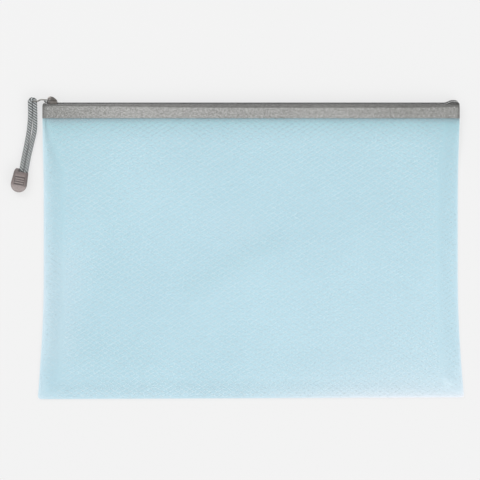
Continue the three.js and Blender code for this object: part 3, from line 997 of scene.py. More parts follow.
    def build(self) -> Piece:
        """Makes the panel as a thin closed sheet.

        Returns:
            The panel, standing for its piece in the frame, with its weld and shade marks.
        """
        form = self.form
        y = self.rows()
        left = np.array([self.columns(v) for v in y])
        y = np.repeat(y[:, None], left.shape[1], 1)
        half = form.half_width(y)
        swell = rise(-y, -form.tape_foot_y, form.swell_run) * rise(y, form.bottom_y, form.swell_run)
        x = left - half - form.left_swell * swell * (1 - left / (2 * half))
        outer = form.outer_face(self.side, left, y)
        if self.side is Side.FRONT:
            outer = outer + self.relief(x, y, left)
        foot_half = form.top_half_width + form.foot_flare
        skew = form.foot_skew * (x / foot_half) * np.clip(y / form.bottom_y, 0, 1)
        inner = outer - self.side.value * form.film
        layers = (outer, inner) if self.side is Side.FRONT else (inner, outer)
        points = np.concatenate([np.stack([x, y + skew, z], -1).reshape(-1, 3) for z in layers])
        rows, columns = x.shape
        upper = grid_faces(rows, columns)
        layer_size = rows * columns
        lower = [[c + layer_size for c in reversed(face)] for face in upper]
        ring = list(range(columns))
        ring += [i * columns + columns - 1 for i in range(1, rows)]
        ring += [(rows - 1) * columns + j for j in range(columns - 2, -1, -1)]
        ring += [i * columns for i in range(rows - 2, 0, -1)]
        rim = [[b, a, a + layer_size, b + layer_size] for a, b in zip(ring, ring[1:] + ring[:1])]
        panel = new_object(f"{self.side.label}_film", points, upper + lower + rim)
        sharpen(panel, 60)
        # The weld mark is the welds' paler colour plus painted highlights; the shade mark is painted
        # shade.
        shade = self.dulling(x, y)
        mark(panel, "weld", np.stack([self.whitening(x, y, left) * (1 - shade)] * 2))
        mark(panel, "shade", np.stack([shade] * 2))
        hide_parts(f"{self.side.label}_panel")
        return panel


class NodeTree(Nodes):
    """A Geometry Nodes tree with named inputs, built step by step."""

    def __init__(self, name: str, asked: dict[str, str]) -> None:
        """Starts a tree.

        Args:
            name: the tree's name.
            asked: its named inputs, each with its kind.
        """
        super().__init__(bpy.data.node_groups.new(name, "GeometryNodeTree"))
        face = self.tree.interface
        face.new_socket("Geometry", in_out="OUTPUT", socket_type="NodeSocketGeometry")
        self.given = self.add("NodeGroupInput")
        self.sockets = {
            label: face.new_socket(label, in_out="INPUT", socket_type=f"NodeSocket{kind}").identifier
            for label, kind in asked.items()
        }

    def feed(self, node: bpy.types.Node, name: str | int, value: object) -> None:
        """Feeds a node's input; a text value names the tree's own input that it comes from."""
        super().feed(node, name, self.given.outputs[value] if isinstance(value, str) else value)

    def sweep(self, curve: Socket, section: Socket) -> Socket:
        """Sweeps a section along a curve, with its ends closed."""
        values = {"Curve": curve, "Profile Curve": section, "Fill Caps": True}
        return self.out("GeometryNodeCurveToMesh", values)

    def end(self, geometry: Socket) -> None:
        """Ends the tree in real geometry with the asked material.

        Args:
            geometry: what the tree has made.
        """
        real = self.out("GeometryNodeRealizeInstances", {"Geometry": geometry})
        dressed = self.out("GeometryNodeSetMaterial", {"Geometry": real, "Material": "Material"})
        self.add("NodeGroupOutput", {0: dressed})

    def run(self, name: str, **values: object) -> Piece:
        """Runs the tree on a new object.

        Args:
            name: the object's name.
            values: the tree's inputs by name, with _ for a space.

        Returns:
            The object as a plain mesh, its modifier removed.
        """
        made = set_down(name, bpy.data.meshes.new(name))
        modifier = made.modifiers.new("repeats", "NODES")
        modifier.node_group = self.tree
        for key, value in values.items():
            modifier[self.sockets[key.replace("_", " ")]] = value
        bake(made)
        made.data.shade_smooth()
        return made


def net_tree() -> NodeTree:
    """Two families of threads, dropped onto a panel along Z and swept with a flat section.

    Returns:
        The tree, which asks for each family's run, step and corner.
    """
    families = ("First", "Second")
    asked = {"Panel": "Object", "Count": "Int", "Spacing": "Float", "Width": "Float"}
    for family in families:
        asked |= {f"{family} {vector}": "Vector" for vector in ("run", "step", "corner")}
    net = NodeTree("net", asked | {"Drop": "Vector", "Material": "Material"})
    panel = net.out("GeometryNodeObjectInfo", {"Object": "Panel"}, "Geometry")
    section = net.out("GeometryNodeCurvePrimitiveCircle", {"Resolution": 5, "Radius": "Width"})
    flat = net.out("GeometryNodeTransform", {"Geometry": section, "Scale": (0.9, 0.24, 1.0)})

    def dropped(output: str) -> Socket:
        """What a ray down from each place meets on the panel."""
        values = {"Target Geometry": panel, "Ray Direction": "Drop", "Ray Length": 1.0}
        return net.out("GeometryNodeRaycast", values, output)

    both = net.add("GeometryNodeJoinGeometry")
    for family in families:
        line = net.out("GeometryNodeCurvePrimitiveLine", {"End": f"{family} run"})
        starts = {"Count": "Count", "Start Location": f"{family} corner", "Offset": f"{family} step"}
        places = net.out("GeometryNodeMeshLine", starts)
        lines = net.out("GeometryNodeInstanceOnPoints", {"Points": places, "Instance": line})
        real = net.out("GeometryNodeRealizeInstances", {"Geometry": lines})
        fine = net.out("GeometryNodeResampleCurve", {"Curve": real, "Length": "Spacing"}, mode="LENGTH")
        missed = net.out("FunctionNodeBooleanMath", {0: dropped("Is Hit")}, operation="NOT")
        inside = net.out("GeometryNodeDeleteGeometry", {"Geometry": fine, "Selection": missed})
        place = dropped("Hit Position")
        laid = net.out("GeometryNodeSetPosition", {"Geometry": inside, "Position": place})
        level = net.out("GeometryNodeSetCurveNormal", {"Curve": laid}, mode="Z_UP")
        net.feed(both, 0, net.sweep(level, flat))
    net.end(both.outputs[0])
    return net


@dataclass
class Net:
    """Diamond net laminated in a panel."""

    side: Side
    across: tuple[float, float]
    down: tuple[float, float]
    finish: ThreadFinish
    width: float = 0.5 * MM
    spacing: float = 4.5 * MM
    reach: float = 460 * MM
    threads: int = 144
    drop_height: float = 0.2

    def build(self, panel: Piece, tree: NodeTree) -> Piece:
        """Lays the net on its panel.

        Args:
            panel: the film that the threads are laminated in.
            tree: the tree that drops and sweeps the threads.

        Returns:
            The net as one mesh.
        """
        across, down = np.array(self.across), np.array(self.down)
        first, second = (across + down) / 2, (across - down) / 2
        values = {}
        for family, run, step in (("First", first, second), ("Second", second, first)):
            way = run / np.linalg.norm(run)
            corner = -way * self.reach / 2 - step * (self.threads // 2)
            values[f"{family}_run"] = (way[0] * self.reach, way[1] * self.reach, 0.0)
            values[f"{family}_step"] = (step[0], step[1], 0.0)
            values[f"{family}_corner"] = (corner[0], corner[1], self.drop_height * self.side.value)
        return tree.run(
            f"{self.side.label}_net",
            Panel=panel,
            Count=self.threads,
            Spacing=self.spacing,
            Width=self.width,
            Drop=(0.0, 0.0, -1.0 * self.side.value),
            Material=self.finish.build(f"{self.side.label}_thread"),
            **values,
        )


@dataclass
class ZipperTape:
    """One woven tape, from the chain round the shoulder and down its panel."""

    form: PouchForm
    side: Side
    finish: WovenFinish
    station_step: float = 1.15 * MM
    pucker: float = 0.1 * MM
    pucker_pitch: float = 4.1 * MM
    pucker_width: float = 3 * MM
    hem: Fade = Fade(1, 0.8 * MM)
    coil_zone: float = 0.6
    crest_height: Rise = Rise(-0.6 * MM, 0.3 * MM)
    crest_reach: Rise = Rise(-110 * MM, 60 * MM)
    coil_edge: float = 0.5 * MM
    coil_depths: tuple[tuple[float, float], ...] = (
        (-165, 1.9),
        (-158, 1.4),
        (-140, 1.5),
        (-105, 2.1),
        (-30, 3.0),
        (130, 3.0),
        (160, 2.4),
    )

    def section(self) -> Array:
        """Outline of the tape, round its shoulder, down to its foot and back inside.

        Returns:
            The distance from the chain's middle and the Y of each corner.
        """
        form = self.form
        centre = np.array([form.zip_z - form.shoulder_radius, form.shoulder_y - form.shoulder_radius])
        turns = np.radians(np.linspace(90, 0, 9))
        arc = np.stack([np.cos(turns), np.sin(turns)], 1)
        outer = centre + form.shoulder_radius * arc
        inner = centre + (form.shoulder_radius - form.tape) * arc
        half = form.tape / 2
        over = np.radians(np.linspace(0, 180, 7))
        lip = form.tape_foot_y + half * (1 - np.sin(over))
        round_foot = np.stack([form.zip_z - half + half * np.cos(over), lip], 1)
        near = outer[-1] - np.outer(np.arange(1, 9) * 0.35 * MM, (0, 1))
        down = np.concatenate([near, np.linspace(near[-1], round_foot[0], 7)[1:-1]])
        up = np.linspace(round_foot[-1], inner[-1], 9)[1:-1]
        lead = np.linspace([form.tape_edge, form.shoulder_y], outer[0], 4)[:-1]
        back = np.linspace(inner[0], [form.tape_edge, form.shoulder_y - form.tape], 4)[1:]
        return np.concatenate([lead, outer, down, round_foot, up, inner[::-1], back])

    def stations(self) -> Array:
        """Places along the zipper where the section is drawn.

        Returns:
            The X of each place, closest together at the ends.
        """
        end = self.form.top_half_width
        left = np.array([0, 0.15, 0.4, 0.8]) * MM - end
        even = np.arange(-end + 1.2 * MM, end - 1 * MM, self.station_step)
        return np.concatenate([left, even, -left[::-1]])

    def coil_mark(self, along: Array, height: Array) -> Array:
        """How dark the tape is where the coil lies behind it, and at its two hems.

        Args:
            along: places along the zipper.
            height: how far they are above the shoulder.

        Returns:
            From 0 for plain tape to 1 on the crest and at the hems.
        """
        depth = np.interp(along / MM, *zip(*self.coil_depths)) * MM
        crest = self.crest_height.at(height) * self.crest_reach.at(along)
        coil = mix(self.coil_zone, 1, crest) * smooth((height + depth) / self.coil_edge + 0.5)
        return np.maximum(coil, self.hem.at(self.form.top_half_width - np.abs(along)))

    def build(self) -> None:
        """Makes the tape, standing for its piece in the frame."""
        section = self.section()
        x = self.stations()
        along, away = np.meshgrid(x, section[:, 0], indexing="ij")
        y = np.tile(section[:, 1], (len(x), 1))
        pucker = self.pucker * np.sin(along * math.tau / self.pucker_pitch)
        pucker = np.maximum(pucker * bell(y - self.form.tape_foot_y, self.pucker_width), 0)
        points = self.form.pinched(along, y, self.side.value * (away + pucker))
        faces = tube_faces(len(x), len(section), flip=self.side is Side.BACK)
        tape = new_object(f"{self.side.label}_zipper_tape", points.reshape(-1, 3), faces)
        sharpen(tape, 60)
        mark(tape, "coil", self.coil_mark(along, points[..., 1] - self.form.shoulder_y))
        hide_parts(f"{self.side.label}_tape")
        settle(tape, Body.POUCH, self.finish.build(f"{self.side.label}_weave"))


def stitch_tree() -> NodeTree:
    """A row of short rounded stitches along X, each turned a little by chance.

    Returns:
        The tree, which asks for the stitches' count, pitch and size.
    """
    asked = {"Count": "Int", "Pitch": "Float", "Size": "Vector", "Looseness": "Float", "Seed": "Int"}
    row = NodeTree("stitches", asked | {"Material": "Material"})
    step = row.out("ShaderNodeCombineXYZ", {"X": "Pitch"})
    places = row.out("GeometryNodeMeshLine", {"Count": "Count", "Offset": step})
    stitch = row.out("GeometryNodeMeshUVSphere", {"Segments": 8, "Rings": 5, "Radius": 0.5})
    limits = {2: row.math("MULTIPLY", "Looseness", -1.0), 3: "Looseness", "Seed": "Seed"}
    angle = row.out("ShaderNodeCombineXYZ", {"Z": row.out("FunctionNodeRandomValue", limits, 1)})
    placed = {"Points": places, "Instance": stitch, "Rotation": angle, "Scale": "Size"}
    row.end(row.out("GeometryNodeInstanceOnPoints", placed))
    return row


@dataclass
class StitchRow:
    """A row of stitches or weld marks along a tape."""

    form: PouchForm
    name: str
    finish: PlainFinish
    y: float
    pitch: float
    size: Point
    seed: int
    sunk: float = 0.0
    margin: float = 1.6 * MM
    looseness: float = 0.12

    def build(self, side: Side, tree: NodeTree) -> None:
        """Makes the row and wraps it onto a tape.

        Args:
            side: which tape it lies on.
            tree: the tree that repeats the stitch.
        """
        count = int(2 * (self.form.top_half_width - self.margin) / self.pitch)
        row = tree.run(
            f"{side.label}_{self.name}",
            Count=count,
            Pitch=self.pitch,
            Size=self.size,
            Looseness=self.looseness,
            Seed=self.seed,
            Material=self.finish.build(f"{side.label}_{self.name}_finish"),
        )
        start = -(count - 1) * self.pitch / 2
        face = self.form.zip_z - self.sunk

        def wrap(corners: Array) -> Array:
            """Where the corners lie on the tape."""
            x, y, z = corners.T
            return self.form.pinched(x + start, y + self.y, side.value * (face + z))

        bend_mesh(row, wrap)
        settle(row, Body.POUCH)


def coil_tree() -> NodeTree:
    """A flat coil of wire along X: out to its locking heads and back round its core.

    Returns:
        The tree, which asks for the coil's turns, pitch, reach and height.
    """
    asked = {"Turns": "Int", "Steps": "Int", "Pitch": "Float", "Reach": "Float", "Height": "Float"}
    coil = NodeTree("coil", asked | {"Wire": "Float", "Material": "Material"})
    line = coil.out("GeometryNodeCurvePrimitiveLine", {"End": (1.0, 0.0, 0.0)})
    total = coil.math("MULTIPLY", "Turns", "Steps")
    fine = coil.out("GeometryNodeResampleCurve", {"Curve": line, "Count": total}, mode="COUNT")
    turned = coil.math("DIVIDE", coil.out("GeometryNodeInputIndex"), "Steps")
    angle = coil.math("MULTIPLY", turned, math.tau)
    place = {
        "X": coil.math("MULTIPLY", turned, "Pitch"),
        "Y": coil.math("MULTIPLY", coil.math("SINE", angle), "Height"),
        "Z": coil.math("MULTIPLY", coil.math("COSINE", angle), "Reach"),
    }
    position = coil.out("ShaderNodeCombineXYZ", place)
    bent = coil.out("GeometryNodeSetPosition", {"Geometry": fine, "Position": position})
    wire = coil.out("GeometryNodeCurvePrimitiveCircle", {"Resolution": 6, "Radius": "Wire"})
    coil.end(coil.sweep(bent, wire))
    return coil


@dataclass
class Chain:
    """One of the two rows of teeth: a nylon coil that locks with the other row."""

    form: PouchForm
    side: Side
    finish: PlainFinish
    pitch: float = 1.15 * MM
    steps: int = 11
    wire: float = 0.26 * MM
    height: float = 1.4 * MM
    clearance: float = 0.2 * MM
    inner: float = -0.3 * MM
    outer: float = 1.6 * MM
    slider_left: float = -164.6 * MM
    slider_length: float = 8.2 * MM
    post_length: float = 3.2 * MM
    tooth_pitch: float = 2.3 * MM
    parted: float = 1.3 * MM
    parts_after: float = 0.75
    parts_over: float = 0.3
    end_growth: float = 0.3
    end_shrink: float = 0.45

    def parting(self, x: Array) -> Array:
        """How far the row stands aside to pass the slider's post.

        Args:
            x: places along the row.

        Returns:
            The distance along Z at each place.
        """
        start = self.slider_left + self.post_length + self.parts_after * self.tooth_pitch
        run = self.slider_length - self.post_length - self.parts_over * self.tooth_pitch
        return self.parted * (1 - rise(x, start, run))

    def build(self, tree: NodeTree) -> None:
        """Makes the row, standing for its piece in the frame.

        Args:
            tree: the tree that winds the coil.
        """
        form = self.form
        start = -form.top_half_width + form.chain_end
        side = self.side.value
        row = tree.run(
            f"{self.side.label}_coil",
            Turns=int(-2 * start / self.pitch),
            Steps=self.steps,
            Pitch=self.pitch,
            Reach=(self.outer - self.inner) / 2 - self.wire,
            Height=self.height / 2 - self.wire,
            Wire=self.wire,
            Material=self.finish.build(f"{self.side.label}_nylon"),
        )
        shift = 0.25 * self.pitch * (1 + side)
        middle_y = form.shoulder_y + self.clearance + self.height / 2
        middle_z = (self.inner + self.outer) / 2
        post_end = self.slider_left + self.post_length

        def wrap(corners: Array) -> Array:
            """Where the corners lie between the tapes.

            Args:
                corners: the corners of the straight coil.

            Returns:
                The corners of the row, parted at the slider.
            """
            x = np.clip(corners[:, 0] + start + shift, start, -start)
            away = middle_z - corners[:, 2] + self.parting(x)
            taller = 1 + self.end_growth * rise(-x, -post_end, self.post_length)
            taller -= self.end_shrink * smooth((x + start + self.post_length) / self.post_length)
            y = corners[:, 1] * taller + middle_y + (taller - 1) * self.height / 2
            return form.pinched(x, y, side * away)

        bend_mesh(row, wrap)
        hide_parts(f"{self.side.label}_chain")
        settle(row, Body.POUCH)


@dataclass(frozen=True)
class PullForm:
    """Where the grip and the cord lie, as in the frame."""

    bar_x: float = -176.45 * MM
    bar_y: float = 120.3 * MM
    zip_z: float = 4.7 * MM
    cord: float = 3.5 * MM
    bend: float = 1.85 * MM
    bow: float = 1.9 * MM
    parting: float = 0.8 * MM
    sag: float = 0.3 * MM
    lie: float = 1.9 * MM
    seat: float = 0.3 * MM
    grip_left: float = 8.6 * MM
    grip_below: float = 54.5 * MM
    lean: float = math.radians(11)
    thickness: float = 7 * MM
    notch: float = 2.4 * MM
    strand_x: float = -0.1 * MM
    strand_spacing: float = 3.7 * MM
    shares: tuple[float, ...] = (0.2, 0.4, 0.6, 0.8, 0.94)
    drop_run: float = 0.3
    climb_start: float = 0.55
    climb_run: float = 0.42
    parting_middle: float = 0.57
    parting_width: float = 0.17

    @property
    def ways(self) -> Array:
        """The grip's directions across and down, one row each."""
        along, aside = math.cos(self.lean), math.sin(self.lean)
        return np.array([[along, -aside], [-aside, -along]])

    def grip_point(self, across: float, down: float, height: float) -> Array:
        """A point of the grip's own frame, across and down from the middle of its top end."""
        top = np.array([self.bar_x - self.grip_left, self.bar_y - self.grip_below])
        return np.array([*(top + across * self.ways[0] + down * self.ways[1]), height])

    def strand(self, across: float, bend_side: int) -> list[Array]:
        """Points of one strand, from the grip to the side of the bend over the tab's bar.

        Args:
            across: how far across the grip the strand enters it.
            bend_side: -1 for the left strand and 1 for the right one.

        Returns:
            The points in order.
        """
        middle = self.thickness / 2
        foot = self.grip_point(across, self.notch - self.seat, middle)
        top = np.array([self.bar_x + bend_side * self.bend, self.bar_y - self.sag, self.zip_z])
        points = [foot, self.grip_point(across, -self.seat, middle)]
        for share in self.shares:
            drop = mix(middle, self.lie, smooth(share / self.drop_run))
            height = mix(drop, self.zip_z, rise(share, self.climb_start, self.climb_run))
            bow = self.bow * math.sin(math.pi * share**1.5)
            bow += self.parting * bell(share - self.parting_middle, self.parting_width) * (bend_side > 0)
            x, y, _ = mix(foot, top, share)
            points.append(np.array([x + bow, y, height]))
        return points

    def route(self) -> Array:
        """The cord's route: up the left strand, over the bar and down the right strand.

        Returns:
            The points that the cord passes through, in order.
        """
        turns = np.radians(180 - 30 * np.arange(7))
        x = self.bar_x + self.bend * np.cos(turns)
        y = self.bar_y - self.sag + self.bend * np.sin(turns)
        over = np.stack([x, y, np.full(7, self.zip_z)], 1)
        left = self.strand(self.strand_x, -1)
        right = self.strand(self.strand_x + self.strand_spacing, 1)[::-1]
        return np.array([*left, *over, *right])


def fine_line(points: Array, count: int, fine: int = 24) -> Array:
    """A smooth line through points, at even steps.

    Args:
        points: what the line passes through.
        count: number of places on the line.
        fine: how many places are worked out between two points.

    Returns:
        The places, one row each.
    """
    padded = np.concatenate([[2 * points[0] - points[1]], points, [2 * points[-1] - points[-2]]])
    pieces = []
    for a, b, c, d in zip(padded, padded[1:], padded[2:], padded[3:]):
        gaps = [np.linalg.norm(end - start) ** 0.5 for start, end in ((a, b), (b, c), (c, d))]
        ta, tb, tc, td = np.cumsum([0.0, *gaps])
        t = np.linspace(tb, tc, fine, endpoint=False)[:, None]

        def between(first: Array, last: Array, begin: float, end: float) -> Array:
            """The values on the way from the first to the last, between two times."""
            return (end - t) / (end - begin) * first + (t - begin) / (end - begin) * last

        ab, bc, cd = between(a, b, ta, tb), between(b, c, tb, tc), between(c, d, tc, td)
        pieces.append(between(between(ab, bc, ta, tc), between(bc, cd, tb, td), tb, tc))
    line = np.concatenate([*pieces, [points[-1]]])
    run = np.concatenate([[0], np.cumsum(np.linalg.norm(np.diff(line, axis=0), axis=1))])
    even = np.linspace(0, run[-1], count)
    return np.stack([np.interp(even, run, line[:, i]) for i in range(3)], 1)


@dataclass(frozen=True)
class Spine:
    """The cord's centre line, with two directions across it at each place."""

    line: Array
    side: Array
    up: Array

    @classmethod
    def along(cls, line: Array) -> "Spine":
        """Carries the directions from step to step without twisting.

        Args:
            line: places along the centre line.

        Returns:
            The line with its directions.
        """
        way = unit(np.gradient(line, axis=0))
        side = np.zeros_like(line)
        side[0] = unit(np.cross(way[0], (0, 0, 1)))
        for i in range(1, len(line)):
            side[i] = unit(side[i - 1] - way[i] * (side[i - 1] @ way[i]))
        return cls(line, side, np.cross(way, side))

    @property
    def length(self) -> float:
        """The length along the line."""
        return float(np.linalg.norm(np.diff(self.line, axis=0), axis=1).sum())

    def outward(self, turn: Array) -> Array:
        """The direction out of the line at a turn for each place."""
        return self.side * np.cos(turn)[:, None] + self.up * np.sin(turn)[:, None]


@dataclass
class PullCord:
    """Braided cord: a core with six yarns winding each way, over one and under one."""

    form: PullForm
    finish: YarnFinish
    girth: float = 4.0 * MM
    yarns: int = 6
    lay_length: float = 6.4 * MM
    dark: float = 0.45
    steps: int = 480
    core_inset: float = 0.75 * MM
    core_sides: int = 12
    yarn_inset: float = 0.4 * MM
    yarn_lift: float = 0.2 * MM
    yarn_half_width: float = 0.43 * MM
    yarn_half_height: float = 0.24 * MM
    yarn_sides: int = 6
    crown_margin: float = 0.05 * MM

    @property
    def core_radius(self) -> float:
        """The radius of the core under the yarns."""
        return self.girth / 2 - self.core_inset

    def core(self, spine: Spine) -> Array:
        """The core that the yarns wind round.

        Args:
            spine: the cord's centre line.

        Returns:
            The core's rings of corners.
        """
        turns = np.linspace(0, math.tau, self.core_sides, endpoint=False)[None, :, None]
        ring = spine.side[:, None] * np.cos(turns) + spine.up[:, None] * np.sin(turns)
        return spine.line[:, None] + self.core_radius * ring

    def yarn(self, spine: Spine, way: int, number: int) -> Array:
        """One yarn of the braid.

        Args:
            spine: the cord's centre line.
            way: 1 or -1, the way that the yarn winds.
            number: which of the yarns that wind this way.

        Returns:
            The yarn's rings of corners.
        """
        lays = np.linspace(0, 1, len(spine.line)) * spine.length / self.lay_length
        turn = way * math.tau * lays + math.tau * number / self.yarns
        lift = self.yarn_lift * np.sin(self.yarns * math.tau * lays + way * math.pi / 2)
        out = spine.outward(turn)
        centre = spine.line + out * (self.girth / 2 - self.yarn_inset + lift)[:, None]
        wide = unit(np.cross(unit(np.gradient(centre, axis=0)), out))
        angle = np.linspace(0, math.tau, self.yarn_sides, endpoint=False)[None, :, None]
        flat = wide[:, None] * self.yarn_half_width * np.cos(angle)
        return centre[:, None] + flat + out[:, None] * self.yarn_half_height * np.sin(angle)

    def build(self, grip: Piece) -> Piece:
        """Args:
            grip: the grip moulded on the cord's ends; not used.

        Returns:
            The cord as one mesh.
        """
        spine = Spine.along(fine_line(self.form.route(), self.steps))
        parts = [(self.core(spine), 1.0)]
        for way in (1, -1):
            for number in range(self.yarns):
                parts.append((self.yarn(spine, way, number), self.dark if number % 2 else 1.0))
        faces: list[list[int]] = []
        crowns: list[Array] = []
        start = 0
        full = self.girth / 2 + self.crown_margin - self.core_radius
        for rings, tone in parts:
            part_faces = tube_faces(*rings.shape[:2], flip=not faces)
            faces += [[c + start for c in face] for face in part_faces]
            start += rings.shape[0] * rings.shape[1]
            # The crown mark rises with height over the core: painted shade in the grooves and painted
            # highlight on the crowns; tone makes every other yarn darker in its own colour.
            out = np.linalg.norm(rings - spine.line[:, None], axis=2)
            crowns.append((tone * (out - self.core_radius) / full).ravel())
        points = np.concatenate([rings.reshape(-1, 3) for rings, _ in parts])
        cord = new_object("braided_cord", points, faces)
        mark(cord, "crown", np.concatenate(crowns))
        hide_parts("pull_cord")
        settle(cord, Body.PULL, self.finish.build("cord_yarn"))
        log.info("cord %.1f mm", spine.length / MM)
        return cord


@dataclass
class Grip:
    """Moulded grip with ribs on both faces."""

    form: PullForm
    finish: GripFinish
    edge: float = 0.16 * MM
    neck_end: Rise = Rise(5.1 * MM, 0.7 * MM)
    round_end: Rise = Rise(13.4 * MM, 0.5 * MM)
    right_side: Rise = Rise(4.4 * MM, 0.5 * MM)
    panel_middle: float = 9.7 * MM
    panel_half_length: float = 3.8 * MM
    panel_half_width: float = 4.2 * MM
    groove_depth: Rise = Rise(0.2 * MM, 0.3 * MM)
    rib_top: Rise = Rise(-0.35 * MM, 0.15 * MM)
    round_tone: float = 0.23
    # Painted shade on the right side and in the grooves, painted highlight on the rib tops.
    side_tone: float = -0.2
    groove_tone: float = -0.3
    rib_tone: float = 0.12
    neck_tone: float = -0.22

    def tone(self, corners: Array) -> Array:
        """How pale or dark the grip is: a paler round end, a darker neck, painted shade on its right
        side and in the grooves, and painted highlight on the rib tops.

        Args:
            corners: places on the grip, one row each.

        Returns:
            From 0 for dark over 0.5 for the grip's colour to 1 for pale.
        """
        across, down = self.form.ways @ (corners[:, :2] - self.form.grip_point(0, 0, 0)[:2]).T
        below = np.minimum(corners[:, 2], self.form.thickness - corners[:, 2])
        round_end = self.round_end.at(down)
        neck = 1 - self.neck_end.at(down)
        side = self.right_side.at(across) * (1 - round_end) * (1 - neck)
        along_panel = np.abs(down - self.panel_middle) < self.panel_half_length
        in_panel = (np.abs(across) < self.panel_half_width) & along_panel
        # Paler round end, darker neck, painted shade on the right side and in the grooves, painted
        # highlight on the rib tops.
        tone = 0.5 + self.round_tone * round_end + self.side_tone * side + self.neck_tone * neck
        tone += self.groove_tone * self.groove_depth.at(below) * in_panel
        return tone + self.rib_tone * self.rib_top.at(-below) * in_panel

    def build(self) -> Piece:
        """Makes the grip with softened edges.

        Returns:
            The grip, standing for its piece in the frame, with its tone mark.
        """
        grip = softened_copy("pull_grip", "moulded_grip", self.edge)
        mark(grip, "tone", self.tone(np.array([v.co for v in grip.data.vertices])))
        settle(grip, Body.PULL, self.finish.build("grip_moulding"))
        return grip


@dataclass(frozen=True)
class PullLift:
    """Settings for the limp pull's rise over the front panel as the slider carries it across the pouch;
    the rise itself is not made, and the cord and the grip only get meshes of their own.
    """

    form: PullForm
    joint: str = "slider_slide"
    way: Point = (0.0, 0.5, 0.866)
    hold_y: float = 124.8 * MM
    hold_z: float = 12.5 * MM
    cord_share: float = 0.56
    grip_share: float = 0.1

    def lift(self, cord: Piece, grip: Piece) -> None:
        """Gives both pieces meshes of their own.

        Args:
            cord: the finished cord.
            grip: the finished grip.
        """
        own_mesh(cord)
        entry = self.form.grip_point(0, 0, self.form.thickness / 2)
        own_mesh(grip)


@dataclass(frozen=True)
class MetalPiece:
    """A hard metal piece of the slider or its tab, with softened edges."""

    node: str
    name: str
    edge: float
    body: Body
    slot: str

    def build(self, finish: bpy.types.Material) -> None:
        """Makes the piece in this metal, standing for its piece in the frame."""
        settle(softened_copy(self.node, self.name, self.edge), self.body, finish)


@dataclass(frozen=True)
class Lamp:
    """One soft round lamp over the table."""

    name: str
    place: Point
    size: float
    power: float

    def hang(self, middle: Vector) -> None:
        """Hangs the lamp, facing the middle of the picture.

        Args:
            middle: the point that the lamp faces.
        """
        lamp = bpy.data.lights.new(self.name, "AREA")
        lamp.shape = "DISK"
        lamp.size = self.size
        lamp.energy = self.power
        hung = set_down(self.name, lamp)
        hung.location = self.place
        hung.rotation_euler = (middle - Vector(self.place)).to_track_quat("-Z", "Y").to_euler()


@dataclass
class Stage:
    """Pale table, soft studio light and a camera straight above."""

    middle: tuple[float, float] = (-8.9 * MM, 8.5 * MM)
    width: float = 387.4 * MM
    height: float = 2.4
    sensor: float = 36.0
    pouch_height: float = 5 * MM
    table: Colour = grey(112)
    table_light: Colour = grey(242)
    glow: float = 0.75
    table_reach: float = 4.0
    table_drop: float = 0.05 * MM
    sky: float = 0.986
    lamps: tuple[Lamp, ...] = (
        Lamp("upper_left_lamp", (-1.0, 1.3, 1.7), 1.2, 19.2),
        Lamp("lower_right_lamp", (1.3, -1.5, 1.5), 1.4, 19.2),
    )

    def floor(self) -> None:
        """Lays the table, a little below the pouch."""
        signs = ((-1, -1), (1, -1), (1, 1), (-1, 1))
        points = [(a * self.table_reach, b * self.table_reach, -self.table_drop) for a, b in signs]
        table = new_object("table", np.array(points), [[0, 1, 2, 3]])
        shader = Shader("table_finish", self.table, 0.9)
        shader.dress(Emission_Color=self.table_light, Emission_Strength=self.glow)
        shader.dress(Specular_IOR_Level=0.1)
        table.data.materials.append(shader.material)

    def camera(self) -> None:
        """Sets the camera straight above, with a long lens."""
        lens = bpy.data.cameras.new("camera")
        lens.sensor_width = self.sensor
        lens.lens = self.sensor * (self.height - self.pouch_height) / self.width
        lens.clip_end = 20.0
        eye = set_down("camera", lens)
        eye.location = (*self.middle, self.height)
        bpy.context.scene.camera = eye

    def build(self) -> None:
        """Sets the table, the lamps, the world's light and the camera."""
        self.floor()
        for lamp in self.lamps:
            lamp.hang(Vector((*self.middle, 0)))
        world = bpy.data.worlds.new("studio")
        world.use_nodes = True
        sky = world.node_tree.nodes["Background"]
        sky.inputs["Color"].default_value = WHITE
        sky.inputs["Strength"].default_value = self.sky
        bpy.context.scene.world = world
        bpy.context.scene.view_settings.view_transform = "Standard"
        self.camera()


def build_film(form: PouchForm) -> None:
    """Makes both film panels with their nets.

    Args:
        form: the pouch's outline and heights.
    """
    creases = (
        # Each fold's tone is painted light where above 0 and painted shade where below 0.
        Crease((-152 * MM, -12 * MM), (-156 * MM, -76 * MM), height=0.8 * MM, width=17 * MM, tone=0.14),
        Crease((-134 * MM, -78 * MM), (-95 * MM, -84 * MM), height=-0.5 * MM, width=22 * MM, tone=-0.05),
        Crease((-112 * MM, 52 * MM), (-112 * MM, -30 * MM), height=0.6 * MM, width=16 * MM, tone=-0.04),
        Crease((-26 * MM, 24 * MM), (-4 * MM, 18 * MM), height=0.8 * MM, width=13 * MM, tone=0.04),
        Crease((16 * MM, 6 * MM), (-48 * MM, -28 * MM), height=-0.7 * MM, width=11 * MM, tone=-0.07),
    )
    diamonds = {
        Side.FRONT: ((6.40 * MM, -0.0625 * MM), (-0.284 * MM, -4.088 * MM)),
        Side.BACK: ((6.42 * MM, 0.1735 * MM), (0.250 * MM, -4.025 * MM)),
    }
    threads = net_tree()
    for side in (Side.BACK, Side.FRONT):
        panel = FilmPanel(form, side, creases if side is Side.FRONT else ()).build()
        net = Net(side, *diamonds[side], ThreadFinish()).build(panel, threads)
        settle(net, Body.POUCH)
        settle(panel, Body.POUCH, FilmFinish().build(f"{side.label}_film_finish"))
        log.info("%s panel and net made", side.label)


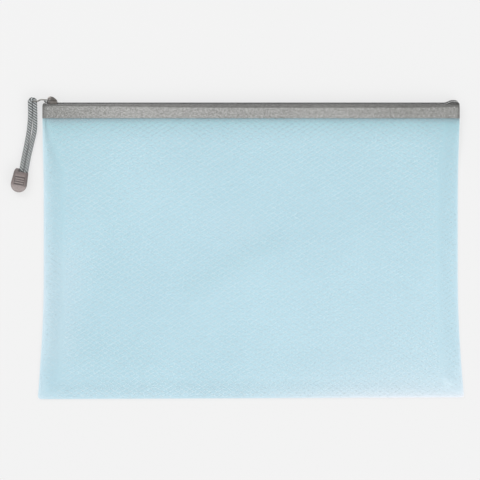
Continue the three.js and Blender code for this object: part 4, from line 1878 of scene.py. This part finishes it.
def build_zipper(form: PouchForm) -> None:
    """Makes both tapes, their rows of teeth and their stitches.

    Args:
        form: the pouch's outline and heights.
    """
    nylon = PlainFinish(grey(118), 0.42, paint(140, 140, 139), mottle_scale=500)
    thread = PlainFinish(grey(96), 0.8, paint(112, 112, 111), mottle_scale=900, sheen=0.2)
    welded = PlainFinish(paint(150, 151, 150), 0.7, paint(176, 177, 175), mottle_scale=700, sheen=0.2)
    stitch = {"pitch": 2.3 * MM, "size": (1.7 * MM, 0.5 * MM, 0.36 * MM), "sunk": 0.08 * MM}
    weld = {"pitch": 4.1 * MM, "size": (1.1 * MM, 0.9 * MM, 0.22 * MM)}
    rows = (
        StitchRow(form, "chain_stitches", thread, y=116.5 * MM, seed=3, **stitch),
        StitchRow(form, "upper_weld_marks", welded, y=114.2 * MM, seed=5, **weld),
        StitchRow(form, "lower_weld_marks", welded, y=108.5 * MM, seed=7, **weld),
    )
    stitches = stitch_tree()
    coils = coil_tree()
    for side in (Side.BACK, Side.FRONT):
        ZipperTape(form, side, WovenFinish()).build()
        Chain(form, side, nylon).build(coils)
        for row in rows:
            row.build(side, stitches)
        log.info("%s half of the zipper made", side.label)


def main() -> None:
    """Builds the pouch's pieces in order."""
    logging.basicConfig(level=logging.INFO, format="%(message)s")
    pull = PullForm()
    Stage().build()

    grip = Grip(pull, GripFinish()).build()
    cord = PullCord(pull, YarnFinish()).build(grip)
    PullLift(pull).lift(cord, grip)
    log.info("cord and grip made")

    form = PouchForm()
    build_film(form)
    build_zipper(form)

    cast = PlainFinish(paint(98, 95, 92), 0.27, paint(122, 117, 113), metallic=0.85)
    stamped = PlainFinish(paint(112, 110, 107), 0.38, paint(134, 132, 128), metallic=0.85)
    metal = cast.build("slider_finish")
    MetalPiece("slider_body", "slider_plates", 0.12 * MM, Body.SLIDER, "slider_metal").build(metal)
    MetalPiece("slider_cap", "slider_dome", 0.1 * MM, Body.SLIDER, "slider_metal").build(metal)
    tab = MetalPiece("pull_tab", "tab_plate", 0.12 * MM, Body.TAB, "tab_metal")
    tab.build(stamped.build("tab_finish"))
    log.info("slider and tab made")


if __name__ == "__main__":
    main()
